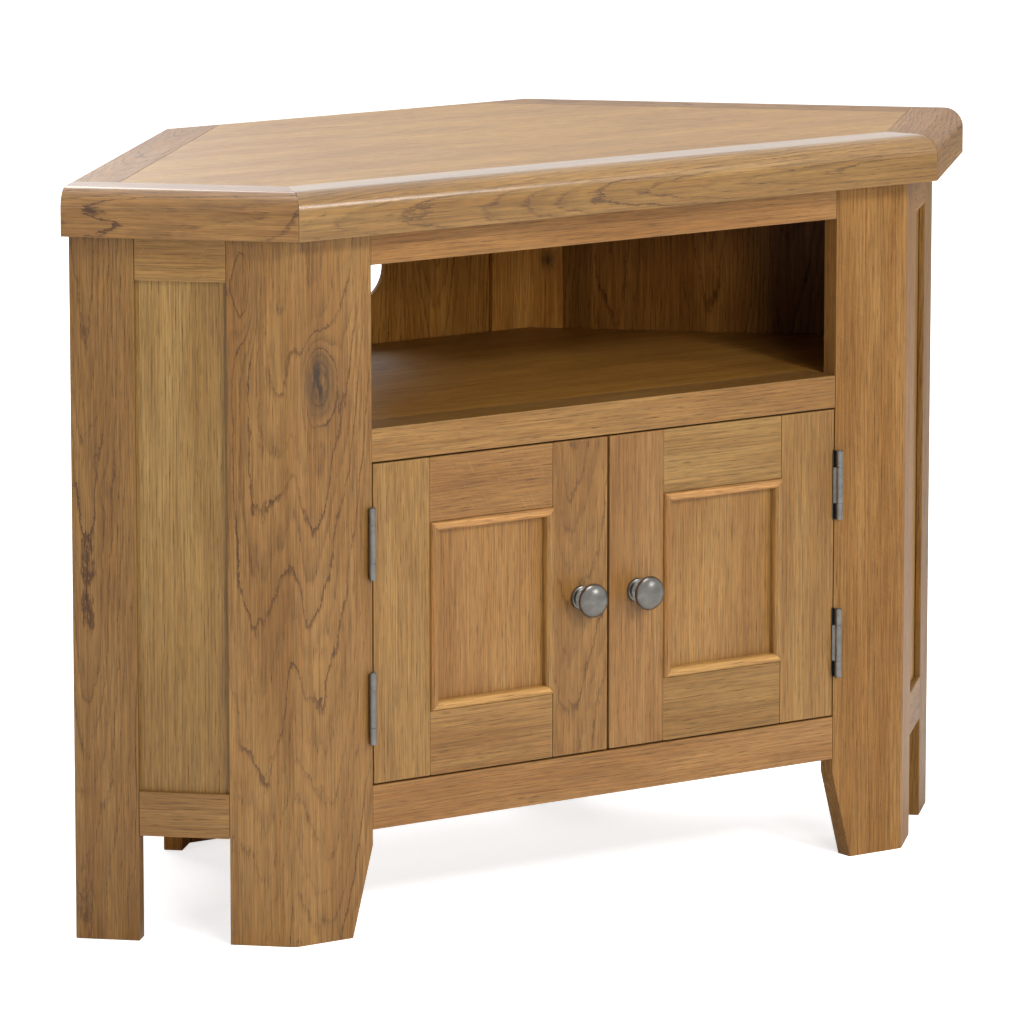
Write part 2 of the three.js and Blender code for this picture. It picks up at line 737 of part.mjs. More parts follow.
// The leaf let into the post: a plate, and the two end knuckles rolled from it.
function frameLeaf(hand) {
  const near = hand * HINGE_AXIS_FROM_POST_EDGE;
  const far = hand * (HINGE_AXIS_FROM_POST_EDGE - HINGE_LEAF_THICKNESS);
  const front = HINGE_AXIS_PROUD;
  const back = front + HINGE_LEAF_WIDTH;
  const boreClear = HINGE_BORE_RADIUS + 0.2;
  const parts = [block(near, far, front, back, 0, HINGE_LENGTH)];
  for (const [bottom, top] of [KNUCKLES.lower, KNUCKLES.upper]) {
    parts.push(block(near, far, boreClear, front + 1, bottom, top));
    parts.push(knuckle([bottom, top]));
  }
  return joined(parts);
}

// The leaf let into the door's edge: a plate, a short bend and the middle knuckle.
function doorLeaf(hand) {
  const near = HINGE_AXIS_FROM_POST_EDGE + DOOR_SIDE_GAP;
  const far = near + HINGE_LEAF_THICKNESS;
  const front = HINGE_AXIS_PROUD;
  const back = front + HINGE_LEAF_WIDTH;
  const [bottom, top] = KNUCKLES.middle;
  const bend = [
    new THREE.Vector2(near, front + 0.5),
    new THREE.Vector2(far, front + 0.5),
    new THREE.Vector2(far, front - 1),
    new THREE.Vector2(2.7, -0.2),
    new THREE.Vector2(1.5, 1.3),
  ];
  const bendShape = prism(mirrored(bend, hand), top - bottom);
  bendShape.translate(0, 0, bottom);
  const plate = block(hand * near, hand * far, front, back, 0, HINGE_LENGTH);
  return joined([plate, bendShape, knuckle(KNUCKLES.middle)]);
}

function hingePin() {
  const crown = 0.8;
  return turned(
    [
      [0, -crown],
      [HINGE_PIN_RADIUS - 0.5, -crown],
      [HINGE_PIN_RADIUS, -crown / 2],
      [HINGE_PIN_RADIUS, HINGE_LENGTH + crown / 2],
      [HINGE_PIN_RADIUS - 0.5, HINGE_LENGTH + crown],
      [0, HINGE_LENGTH + crown],
    ],
    20,
  );
}

function addDoor(group, word, hand) {
  const door = new THREE.Group();
  door.position.set(-HINGE_X * hand, HINGE_Y, 0);
  group.add(door);
  const back = FRONT_Y + DOOR_THICKNESS;
  const openingOuter = DOOR_OUTER_X - STILE_WIDTH - JOINT;
  const openingInner = DOOR_MEETING_HALF_GAP + STILE_WIDTH + JOINT;
  const openingBottom = DOOR_BOTTOM + DOOR_RAIL_HEIGHT + JOINT;
  const openingTop = DOOR_TOP - DOOR_RAIL_HEIGHT - JOINT;
  const panelFront = FRONT_Y + DOOR_PANEL_RECESS;
  const panel = (deeper, wider) =>
    doorBlock(
      hand,
      openingOuter + PANEL_TONGUE + deeper,
      openingInner - PANEL_TONGUE - deeper,
      panelFront - wider,
      panelFront + DOOR_PANEL_THICKNESS + wider,
      openingBottom - PANEL_TONGUE - deeper,
      openingTop + PANEL_TONGUE + deeper,
    );
  const rail = (bottom) =>
    doorBlock(
      hand,
      openingOuter,
      openingInner,
      FRONT_Y,
      back,
      bottom,
      bottom + DOOR_RAIL_HEIGHT,
    );
  const framed = [
    ['outer_stile', outerStile(hand)],
    ['inner_stile', innerStile(hand)],
    ['top_rail', rail(DOOR_TOP - DOOR_RAIL_HEIGHT)],
    ['bottom_rail', rail(DOOR_BOTTOM)],
  ];
  const groove = panel(PANEL_SWELLING_ROOM, JOINT);
  for (const [name, solid] of framed) {
    addPart(door, `door_${word}_${name}`, cutAway(solid, [groove]), oak(OAK_FRAME));
  }
  addPart(door, `door_${word}_panel`, panel(0, 0), oak(OAK_PANEL));
  const nearX = hand * (HINGE_X - openingOuter);
  const farX = hand * (HINGE_X - openingInner);
  const bead = mouldingFrame(
    Math.min(nearX, farX),
    Math.max(nearX, farX),
    openingBottom,
    openingTop,
    panelFront - JOINT - HINGE_Y,
    beadSection(DOOR_PANEL_RECESS - JOINT + BEAD_STANDS_PROUD),
  );
  addPart(door, `door_${word}_bead`, bead, oak(OAK_FRAME));
  const knobX = hand * (HINGE_X - knobCentreX());
  const faceY = FRONT_Y - HINGE_Y;
  const knob = addPart(
    door,
    `door_${word}_knob`,
    knobShape(),
    metal(NICKEL, 0.35),
    knobX,
    faceY - 0.1,
    KNOB_HEIGHT_ABOVE_FLOOR,
  );
  knob.rotation.x = Math.PI / 2;
  const screw = addPart(
    door,
    `door_${word}_knob_screw`,
    knobScrewShape(),
    metal(STEEL, 0.4),
    knobX,
    back - HINGE_Y + 0.1,
    KNOB_HEIGHT_ABOVE_FLOOR,
  );
  screw.rotation.x = Math.PI / 2;
  const strikeNear = HINGE_X - DOOR_MEETING_HALF_GAP - STRIKE_FROM_DOOR_EDGE;
  const strike = block(
    hand * (strikeNear - STRIKE_WIDTH),
    hand * strikeNear,
    back - HINGE_Y,
    back - HINGE_Y + STRIKE_THICKNESS,
    DOOR_TOP - 2 - STRIKE_HEIGHT,
    DOOR_TOP - 2,
  );
  addPart(door, `door_${word}_strike_plate`, strike, metal(STEEL, 0.4), 0, 0.1, 0);
  for (const [level, height] of Object.entries(HINGE_HEIGHTS)) {
    const bottom = height - HINGE_LENGTH / 2;
    addPart(door, `hinge_${word}_${level}_door_leaf`, doorLeaf(hand), metal(STEEL, 0.35), 0, 0, bottom);
    const axisX = -HINGE_X * hand;
    const leafName = `hinge_${word}_${level}_frame_leaf`;
    const pinName = `hinge_${word}_${level}_pin`;
    addPart(group, leafName, frameLeaf(hand), metal(STEEL, 0.35), axisX, HINGE_Y, bottom);
    addPart(group, pinName, hingePin(), metal(STEEL, 0.3), axisX, HINGE_Y, bottom);
  }
}

function addCatch(group) {
  const front = FRONT_Y + DOOR_THICKNESS + STRIKE_THICKNESS + 0.6;
  const body = block(
    -CATCH_WIDTH / 2,
    CATCH_WIDTH / 2,
    front,
    front + CATCH_DEPTH,
    SHELF_LIPPING_BOTTOM - CATCH_HEIGHT,
    SHELF_LIPPING_BOTTOM,
  );
  addPart(group, 'twin_magnetic_catch', body, oak(MAGNET_CASE));
}

const group = new THREE.Group();
addTop(group);
addLegsAndFrames(group);
addBack(group);
addFrontRails(group);
addInsideBoards(group);
addDoor(group, 'left', 1);
addDoor(group, 'right', -1);
addCatch(group);

export default group;
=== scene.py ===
# Looks for a corner media cabinet in oak: lacquered oak boards, satin nickel knobs and steel butt
# hinges, on a pale floor in soft studio light. Metres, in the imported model's own frame.
import math
import random

import bpy
from mathutils import Matrix, Vector


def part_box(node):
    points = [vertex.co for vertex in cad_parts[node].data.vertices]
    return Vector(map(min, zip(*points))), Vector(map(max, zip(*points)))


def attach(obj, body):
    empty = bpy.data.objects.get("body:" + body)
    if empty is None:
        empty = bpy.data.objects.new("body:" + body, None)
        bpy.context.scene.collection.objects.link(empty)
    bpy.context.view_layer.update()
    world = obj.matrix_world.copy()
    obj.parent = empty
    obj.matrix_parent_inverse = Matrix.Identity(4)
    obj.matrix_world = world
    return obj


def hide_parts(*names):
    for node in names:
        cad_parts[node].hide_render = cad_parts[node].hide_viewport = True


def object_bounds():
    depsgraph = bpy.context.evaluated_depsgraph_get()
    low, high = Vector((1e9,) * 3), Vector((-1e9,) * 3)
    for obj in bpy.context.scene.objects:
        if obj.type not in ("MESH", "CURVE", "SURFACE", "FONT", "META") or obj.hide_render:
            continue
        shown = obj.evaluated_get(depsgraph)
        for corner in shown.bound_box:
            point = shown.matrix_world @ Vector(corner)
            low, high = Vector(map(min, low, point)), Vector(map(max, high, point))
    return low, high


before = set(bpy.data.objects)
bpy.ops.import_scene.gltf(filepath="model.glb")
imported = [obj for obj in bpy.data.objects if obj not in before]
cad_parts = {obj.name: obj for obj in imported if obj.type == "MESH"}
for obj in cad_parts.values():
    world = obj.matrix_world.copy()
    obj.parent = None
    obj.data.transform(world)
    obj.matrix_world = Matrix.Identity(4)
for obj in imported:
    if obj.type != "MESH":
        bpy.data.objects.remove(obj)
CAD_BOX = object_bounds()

MM = 0.001

# Axes of the room. The front of the cabinet faces -Y.
X = Vector((1, 0, 0))
Y = Vector((0, 1, 0))
Z = Vector((0, 0, 1))


# --------------------------------------------------------------------------- camera and lamps

# The camera looks at the cabinet from the front left and a little above.
CAMERA_AZIMUTH = math.radians(35.08)
CAMERA_PITCH = math.radians(10.27)
CAMERA_POSITION = (-3.6665, -5.2643, 1.4887)
CAMERA_LENS = 248.2
SENSOR_WIDTH = 36.0
CLIP_START = 0.1
CLIP_END = 100

# How brightly the white surround lights the cabinet, where 1 is as bright as it looks.
SURROUND = 0.06

# The floor: its size in metres, the gap under the cabinet, its paint, how brightly the camera
# sees it glow near the cabinet and how much more it glows farther away, between two distances in
# metres.
FLOOR_SIZE = 24
FLOOR_GAP = 0.1 * MM
FLOOR_PAINT = 0.9
FLOOR_ROUGHNESS = 0.9
FLOOR_SHEEN = 0.1
FLOOR_GLOW_NEAR = 0.72
FLOOR_GLOW_GAIN = 0.4
FLOOR_GLOW_FADE = (0.8, 2.2)

# Lamps: azimuth and elevation in degrees, distance and size in metres, power in watts, and
# whether the lamp is mirrored in glossy surfaces. Azimuth 0 is straight in front of the cabinet.
LAMPS = (
    ("key", -17, 12, 4.5, 0.9, 78, False),
    ("upper_front", -4, 30, 4.5, 0.6, 84, False),
    ("glint", 28, 28, 4.0, 0.8, 23, True),
    ("left", -80, 15, 4.0, 2.2, 29, False),
    ("right", 75, 20, 4.0, 2.2, 43, False),
    ("top", 0, 86, 3.2, 1.1, 70, True),
    ("back", 170, 30, 4.5, 2.4, 84, True),
)


# ---------------------------------------------------------------------------------------- nodes


class Graph:
    """Adds nodes to a node tree. Inputs are sockets, which are linked, or plain values."""

    def __init__(self, tree):
        self.tree = tree

    def add(self, kind, inputs=(), **settings):
        node = self.tree.nodes.new(kind)
        for key, value in settings.items():
            setattr(node, key, value)
        for key, value in dict(inputs).items():
            self.feed(node.inputs[key], value)
        return node

    def feed(self, socket, value):
        if isinstance(value, bpy.types.NodeSocket):
            self.tree.links.new(value, socket)
        else:
            socket.default_value = value

    def math(self, operation, a, b=0.0, c=0.0, clamp=False):
        inputs = {0: a, 1: b, 2: c}
        return self.add("ShaderNodeMath", inputs, operation=operation, use_clamp=clamp).outputs[0]

    def vector(self, operation, a, b=(0, 0, 0), output=0):
        node = self.add("ShaderNodeVectorMath", {0: a, 1: b}, operation=operation)
        return node.outputs[output]

    def ramp(self, value, low, high, smooth=True):
        """0 below low, 1 above high, and in between a smooth or straight rise."""
        kind = "SMOOTHSTEP" if smooth else "LINEAR"
        inputs = {"Value": value, "From Min": low, "From Max": high}
        return self.add("ShaderNodeMapRange", inputs, interpolation_type=kind).outputs[0]

    def mix(self, factor, a, b, blend="MIX"):
        node = self.tree.nodes.new("ShaderNodeMix")
        node.data_type = "RGBA"
        node.blend_type = blend
        # A mix node has one set of sockets for each kind of data. These are the ones for colours.
        factor_socket, a_socket, b_socket, result_socket = 0, 6, 7, 2
        self.feed(node.inputs[factor_socket], factor)
        self.feed(node.inputs[a_socket], a)
        self.feed(node.inputs[b_socket], b)
        return node.outputs[result_socket]

    def shaded(self, colour, brightness):
        """A colour multiplied by a brightness."""
        channels = {0: brightness, 1: brightness, 2: brightness}
        grey = self.add("ShaderNodeCombineColor", channels).outputs[0]
        return self.mix(1.0, colour, grey, "MULTIPLY")

    def parts(self, vector):
        return self.add("ShaderNodeSeparateXYZ", {0: vector}).outputs

    def in_millimetres(self, position):
        return self.vector("MULTIPLY", position, (1 / MM, 1 / MM, 1 / MM))

    def noise(self, position, stretch, detail, roughness):
        """Noise whose spots are 1 / stretch millimetres long, wide and deep."""
        scaled = self.vector("MULTIPLY", position, stretch)
        inputs = {"Vector": scaled, "Scale": 1.0, "Detail": detail, "Roughness": roughness}
        return self.add("ShaderNodeTexNoise", inputs, noise_dimensions="3D").outputs["Fac"]

    def bump(self, height, strength, distance):
        inputs = {"Strength": strength, "Distance": distance, "Height": height}
        return self.add("ShaderNodeBump", inputs).outputs[0]

    def surface(self, shader):
        """Adds the material's one shader and its output."""
        surface = self.add("ShaderNodeBsdfPrincipled", shader).outputs[0]
        self.add("ShaderNodeOutputMaterial", {"Surface": surface})


def new_material(name):
    """A material without nodes, and the graph that they are added to."""
    material = bpy.data.materials.new(name)
    material.use_nodes = True
    material.node_tree.nodes.clear()
    return material, Graph(material.node_tree)


def rgba(red, green, blue):
    return (red, green, blue, 1.0)


# ------------------------------------------------------------------------------------------ oak

OAK_LIGHT = rgba(0.294, 0.154, 0.045)
OAK_MID = rgba(0.216, 0.102, 0.0248)
OAK_WARM = rgba(0.213, 0.089, 0.0188)
OAK_LINE = rgba(0.068, 0.026, 0.0060)
OAK_PORE = rgba(0.055, 0.022, 0.0055)
OAK_KNOT = rgba(0.040, 0.022, 0.010)
OAK_RAY = rgba(0.330, 0.185, 0.065)

# A board of one piece is a plank this wide, in millimetres. A plank differs less in shade where
# it is wider than the widest real one.
WHOLE_BOARD = 100000.0
WIDEST_PLANK = 1000.0

# What a board's material tells the wood, and what the wood assumes otherwise. Position is in
# metres, and the other lengths are in millimetres.
OAK_INPUTS = (
    ("Position", "NodeSocketVector", (0, 0, 0)),
    ("Offset", "NodeSocketVector", (0, 0, 0)),
    ("Half Size", "NodeSocketVector", (1, 1, 1)),
    ("Pith", "NodeSocketVector", (0.1, 0, 50)),
    ("Ring Spacing", "NodeSocketFloat", 4.0),
    ("Ring Strength", "NodeSocketFloat", 0.5),
    ("Warp", "NodeSocketFloat", 14.0),
    ("Rays", "NodeSocketFloat", 0.0),
    ("Pores", "NodeSocketFloat", 0.8),
    ("Warmth", "NodeSocketFloat", 0.6),
    ("Jag", "NodeSocketFloat", 1.0),
    ("Plank Width", "NodeSocketFloat", WHOLE_BOARD),
    ("Tone", "NodeSocketColor", rgba(1, 1, 1)),
    ("Knot Centre", "NodeSocketVector", (0, 0, 0)),
    ("Knot Reach", "NodeSocketVector", (1, 1, 1)),
    ("Knot Lift", "NodeSocketFloat", 0.0),
    ("Knot Dark", "NodeSocketFloat", 0.0),
    ("Eye Centre", "NodeSocketVector", (0, 0, 0)),
    ("Eye Reach", "NodeSocketVector", (1, 1, 1)),
    ("Eye Lift", "NodeSocketFloat", 0.0),
    ("Eye Dark", "NodeSocketFloat", 0.0),
)

# Noise in the wood: how many of its spots there are to a millimetre along the grain, across the
# face and through it, its detail and its roughness.
SWELL = ((0.0045, 0.022, 0.022), 2.0, 0.45)
RIPPLE = ((0.040, 0.11, 0.11), 3.0, 0.65)
JAGS = ((0.12, 0.7, 0.7), 2.0, 0.6)
FAINTNESS = ((0.007, 0.045, 0.045), 2.0, 0.5)
FINE_GRAIN = ((0.018, 0.80, 0.80), 3.0, 0.66)
PORE_GRAIN = ((0.055, 1.70, 1.70), 1.0, 0.5)
STREAKS = ((0.006, 0.30, 0.30), 3.0, 0.6)
PATCHES = ((0.0035, 0.028, 0.028), 2.0, 0.5)
RAY_FLAKES = ((0.55, 0.055, 0.055), 2.0, 0.55)
MOTTLE = ((0.05, 0.16, 0.16), 3.0, 0.6)

# Planks of a glued-up panel: how far apart their wood is, and how much their shades differ.
PLANK_SHIFT = 900
PLANK_SHADES = 0.34

# Rings: how far ripples and jags push them aside in millimetres, where in its width a ring's
# dark start fades and its end darkens again, and how unlike each other the rings are.
RIPPLE_HEIGHT = 3.6
JAG_HEIGHT = 1.5
RING_START_FADES = (0.05, 0.24)
RING_END_DARKENS = (0.40, 1.0)
RING_END_STRENGTH = 0.36
RING_SPREAD = (-0.25, 0.95)
RING_CONTRAST = 1.6
FAINT_RANGE = (0.30, 0.62)
FAINTEST = 0.30

# Pores: the part of their noise that shows, and how crowded they are inside and at the start of
# a ring.
PORE_RANGE = (0.54, 0.68)
PORES_INSIDE = 0.42
PORES_AT_START = 0.75

# Rays: how far their flakes slant, the part of their noise that shows and how pale they are.
RAY_SLANT = 0.55
RAY_RANGE = (0.60, 0.70)
RAY_PALENESS = 0.5

# Shades: where patches and warm streaks show, how dark the darkest fine grain is, and how much
# brighter the brightest is.
PATCH_RANGE = (0.30, 0.70)
STREAK_RANGE = (0.42, 0.72)
FINE_RANGE = (0.22, 0.78)
FINE_DARKEST = 0.53
FINE_GAIN = 0.94

# Knots and eyes: how mottled they are, and how steeply and how strongly they darken towards the
# middle.
MOTTLE_RANGE = (0.15, 0.65)
KNOT_STEEPNESS = 1.7
KNOT_GAIN = 1.3
EYE_STEEPNESS = 1.5

# Rubbed edges, painted paler: partly stain worn off, partly a painted highlight along the edges. How
# deep the paleness reaches in millimetres, where it is patchy and how pale it is.
RUB_AND_HIGHLIGHT_DEPTH = (0.2, 2.4)
RUB_AND_HIGHLIGHT_PATCHES = (0.15, 0.9)
RUB_AND_HIGHLIGHT_PALENESS = 0.30

# The lacquer: its roughness, how much rougher it is over pores and streaks, how it refracts and
# how rough the extra coat on the rounded edges is.
LACQUER_ROUGHNESS = 0.375
PORE_ROUGHNESS = 0.16
STREAK_ROUGHNESS = 0.10
WOOD_IOR = 1.48
COAT_ROUGHNESS = 0.16

# Relief: how much the rings, the fine grain and the pores shape the surface, and how deep all of
# it is.
RING_RELIEF = -0.25
FINE_RELIEF = 0.45
PORE_RELIEF = 0.8
WOOD_BUMP_STRENGTH = 0.35
WOOD_BUMP_DEPTH = 0.35 * MM


def hill(graph, position, centre, reach):
    """A soft hill round a centre, which falls off over its reach along each axis of the board."""
    away = graph.vector("DIVIDE", graph.vector("SUBTRACT", position, centre), reach)
    squared = graph.vector("DOT_PRODUCT", away, away, output="Value")
    return graph.math("EXPONENT", graph.math("MULTIPLY", squared, -1.0))


def add_planks(graph, given, place):
    """A glued-up panel is a row of planks, each with its own figure and shade. Gives the place
    in the plank's own wood, the distance from its middle line and its brightness."""
    width = given["Plank Width"]
    across = graph.parts(place)[1]
    plank = graph.math("FLOOR", graph.math("ADD", graph.math("DIVIDE", across, width), 0.5))
    first = graph.parts(given["Offset"])[0]
    number = graph.math("ADD", plank, first)
    own = graph.add("ShaderNodeTexWhiteNoise", {"W": number}, noise_dimensions="1D").outputs
    shift = graph.vector("MULTIPLY", own["Color"], (PLANK_SHIFT, PLANK_SHIFT, PLANK_SHIFT))
    seeded = graph.vector("ADD", graph.vector("ADD", place, given["Offset"]), shift)
    from_middle = graph.math("SUBTRACT", across, graph.math("MULTIPLY", plank, width))
    in_panel = graph.math("MINIMUM", graph.math("DIVIDE", WIDEST_PLANK, width), 1.0)
    shade = graph.math("MULTIPLY", graph.math("SUBTRACT", own["Value"], 0.5), PLANK_SHADES)
    return seeded, from_middle, graph.math("MULTIPLY_ADD", shade, in_panel, 1.0)


def add_rings(graph, given, place, seeded, across, knot, eye):
    """Rings by their distance from the pith, which lies at a slope to the board, so that its face
    cuts arches. Gives how dark the ring is, and how near its start is."""
    along, _, depth = graph.parts(place)
    slope, beside, behind = graph.parts(given["Pith"])
    sideways = graph.math("SUBTRACT", across, beside)
    sloping = graph.math("MULTIPLY_ADD", along, slope, graph.math("SUBTRACT", depth, behind))
    squares = graph.math("MULTIPLY_ADD", sideways, sideways, graph.math("MULTIPLY", sloping, sloping))
    radius = graph.math("SQRT", squares)

    # The rings swell, ripple and jag, and knots and eyes push them aside.
    swell = graph.noise(seeded, *SWELL)
    radius = graph.math("MULTIPLY_ADD", graph.math("SUBTRACT", swell, 0.5), given["Warp"], radius)
    ripple = graph.noise(seeded, *RIPPLE)
    unrest = graph.math("MULTIPLY", graph.math("SUBTRACT", ripple, 0.5), RIPPLE_HEIGHT)
    jag = graph.noise(seeded, *JAGS)
    unrest = graph.math("MULTIPLY_ADD", graph.math("SUBTRACT", jag, 0.5), JAG_HEIGHT, unrest)
    radius = graph.math("MULTIPLY_ADD", unrest, given["Jag"], radius)
    radius = graph.math("MULTIPLY_ADD", knot, given["Knot Lift"], radius)
    radius = graph.math("MULTIPLY_ADD", eye, given["Eye Lift"], radius)

    # Each ring starts with a dark porous line and darkens a little again at its end.
    count = graph.math("DIVIDE", radius, given["Ring Spacing"])
    phase = graph.math("FRACT", count)
    start = graph.math("SUBTRACT", 1.0, graph.ramp(phase, *RING_START_FADES))
    end = graph.math("MULTIPLY", graph.ramp(phase, *RING_END_DARKENS), RING_END_STRENGTH)
    number = graph.math("FLOOR", count)
    own = graph.add("ShaderNodeTexWhiteNoise", {"W": number}, noise_dimensions="1D")
    strength = graph.ramp(own.outputs["Value"], *RING_SPREAD, smooth=False)
    strength = graph.math("POWER", strength, RING_CONTRAST)
    faint = graph.ramp(graph.noise(seeded, *FAINTNESS), *FAINT_RANGE)
    faint = graph.math("MULTIPLY_ADD", faint, 1 - FAINTEST, FAINTEST)
    ring = graph.math("MAXIMUM", start, end)
    return graph.math("MULTIPLY", ring, graph.math("MULTIPLY", strength, faint)), start


def add_pores(graph, seeded, ring_start):
    """Pores are short grooves along the grain, crowded where a ring starts."""
    pores = graph.ramp(graph.noise(seeded, *PORE_GRAIN), *PORE_RANGE)
    crowding = graph.math("MULTIPLY_ADD", ring_start, PORES_AT_START, PORES_INSIDE)
    return graph.math("MULTIPLY", pores, crowding, clamp=True)


def add_rays(graph, given, place):
    """Rays show as short pale flakes that lie across the grain."""
    along, across, depth = graph.parts(place)
    slant = graph.math("MULTIPLY_ADD", across, RAY_SLANT, along)
    tilted = graph.add("ShaderNodeCombineXYZ", {0: slant, 1: across, 2: depth}).outputs[0]
    tilted = graph.vector("ADD", tilted, given["Offset"])
    flakes = graph.ramp(graph.noise(tilted, *RAY_FLAKES), *RAY_RANGE)
    return graph.math("MULTIPLY", flakes, given["Rays"])


def add_rub_and_highlight(graph, given, place, mottle):
    """How much an edge is painted paler, partly as rubbed stain and partly as a painted highlight: the
    edge is where two faces of the board are near.
    """
    depth = graph.vector("SUBTRACT", given["Half Size"], graph.vector("ABSOLUTE", place))
    side = graph.parts(depth)
    smaller = graph.math("MINIMUM", side[0], side[1])
    larger = graph.math("MAXIMUM", side[0], side[1])
    edge = graph.math("MAXIMUM", smaller, graph.math("MINIMUM", larger, side[2]))
    rub_and_highlight = graph.math("SUBTRACT", 1.0, graph.ramp(edge, *RUB_AND_HIGHLIGHT_DEPTH))
    return graph.math("MULTIPLY", rub_and_highlight, graph.ramp(mottle, *RUB_AND_HIGHLIGHT_PATCHES))


def make_oak_group():
    """Solid oak: growth rings round a pith, cut by the board's faces, with pores, rays and knots.
    Position is in the board's own frame: X along the grain, Y across the face, Z through it."""
    tree = bpy.data.node_groups.new("oak_wood", "ShaderNodeTree")
    for name, kind, default in OAK_INPUTS:
        tree.interface.new_socket(name, in_out="INPUT", socket_type=kind).default_value = default
    tree.interface.new_socket("Color", in_out="OUTPUT", socket_type="NodeSocketColor")
    tree.interface.new_socket("Roughness", in_out="OUTPUT", socket_type="NodeSocketFloat")
    tree.interface.new_socket("Height", in_out="OUTPUT", socket_type="NodeSocketFloat")
    graph = Graph(tree)
    given = graph.add("NodeGroupInput").outputs
    place = graph.in_millimetres(given["Position"])
    seeded, from_middle, brightness = add_planks(graph, given, place)
    knot = hill(graph, place, given["Knot Centre"], given["Knot Reach"])
    eye = hill(graph, place, given["Eye Centre"], given["Eye Reach"])
    ring, ring_start = add_rings(graph, given, place, seeded, from_middle, knot, eye)
    pores = add_pores(graph, seeded, ring_start)
    ray = add_rays(graph, given, place)
    fine = graph.noise(seeded, *FINE_GRAIN)
    streak = graph.noise(seeded, *STREAKS)
    patch = graph.noise(seeded, *PATCHES)
    mottle = graph.ramp(graph.noise(seeded, *MOTTLE), *MOTTLE_RANGE)

    colour = graph.mix(graph.ramp(patch, *PATCH_RANGE), OAK_MID, OAK_LIGHT)
    warm = graph.math("MULTIPLY", graph.ramp(streak, *STREAK_RANGE), given["Warmth"])
    colour = graph.mix(warm, colour, OAK_WARM)
    lined = graph.math("MULTIPLY", ring, given["Ring Strength"], clamp=True)
    colour = graph.mix(lined, colour, OAK_LINE)
    colour = graph.mix(graph.math("MULTIPLY", pores, given["Pores"]), colour, OAK_PORE)
    colour = graph.mix(graph.math("MULTIPLY", ray, RAY_PALENESS), colour, OAK_RAY)
    shade = graph.ramp(fine, *FINE_RANGE, smooth=False)
    colour = graph.shaded(colour, graph.math("MULTIPLY_ADD", shade, FINE_GAIN, FINE_DARKEST))

    core = graph.math("MULTIPLY", graph.math("POWER", knot, KNOT_STEEPNESS), given["Knot Dark"])
    core = graph.math("MULTIPLY", core, KNOT_GAIN)
    smear = graph.math("MULTIPLY", graph.math("POWER", eye, EYE_STEEPNESS), given["Eye Dark"])
    dark = graph.math("MULTIPLY", graph.math("MAXIMUM", core, smear), mottle, clamp=True)
    colour = graph.mix(dark, colour, OAK_KNOT)

    # Edges are painted paler: partly worn stain, partly a painted highlight.
    rub_and_highlight = add_rub_and_highlight(graph, given, place, mottle)
    colour = graph.mix(graph.math("MULTIPLY", rub_and_highlight, RUB_AND_HIGHLIGHT_PALENESS), colour, OAK_LIGHT)
    colour = graph.mix(1.0, colour, given["Tone"], "MULTIPLY")
    colour = graph.shaded(colour, brightness)

    rough = graph.math("MULTIPLY_ADD", pores, PORE_ROUGHNESS, LACQUER_ROUGHNESS)
    rough = graph.math("MULTIPLY_ADD", streak, STREAK_ROUGHNESS, rough)
    raised = graph.math("MULTIPLY", fine, FINE_RELIEF)
    raised = graph.math("MULTIPLY_ADD", ring, RING_RELIEF, raised)
    height = graph.math("SUBTRACT", raised, graph.math("MULTIPLY", pores, PORE_RELIEF))
    graph.add("NodeGroupOutput", {"Color": colour, "Roughness": rough, "Height": height})
    return tree


OAK_GROUP = make_oak_group()

# How a board was sawn: the slope of the pith, its distance across and behind the face, the
# spacing of the rings and how strongly they show. Lengths are in millimetres.
CUTS = {
    "arched": {"Pith": (0.07, 4, 42), "Ring Spacing": 3.9, "Ring Strength": 0.98, "Warp": 17.0},
    "straight": {
        "Pith": (0.02, 150, 90), "Ring Spacing": 3.4, "Ring Strength": 0.62, "Warp": 9.0,
        "Jag": 0.55,
    },
    "fine": {
        "Pith": (0.008, 260, 60), "Ring Spacing": 3.0, "Ring Strength": 0.52, "Warp": 4.0,
        "Pores": 0.9, "Warmth": 0.35, "Jag": 0.22,
    },
}

# By how much boards of one cut differ: factors, except that PITH_SHIFT and WOOD_OFFSET are in
# millimetres.
SLOPE_SPREAD = (0.7, 1.4)
PITH_SHIFT = (-20, 20)
PITH_DEPTH_SPREAD = (0.85, 1.2)
WOOD_OFFSET = (200, 2200)
SHADE_SPREAD = (0.97, 1.03)

# How much of the light a board's finish throws back. The inside is less finished.
POLISHED = 0.46
TOP_EDGE_SHEEN = 0.30
LOW_SHEEN = 0.22
DULL = 0.12


class Board:
    """A board's own frame. Its axes run along the grain, across the face and through it."""

    def __init__(self, piece, along, across):
        self.axes = (along, across, along.cross(across))
        self.centre = Vector()
        self.half_size = []
        for axis in self.axes:
            places = [vertex.co.dot(axis) for vertex in piece.data.vertices]
            low, high = min(places), max(places)
            self.centre += axis * (low + high) / 2
            self.half_size.append((high - low) / 2 / MM)

    def local(self, point):
        """A point of the room in metres, as the board's own millimetres from its centre."""
        away = Vector(point) - self.centre
        return [away.dot(axis) / MM for axis in self.axes]


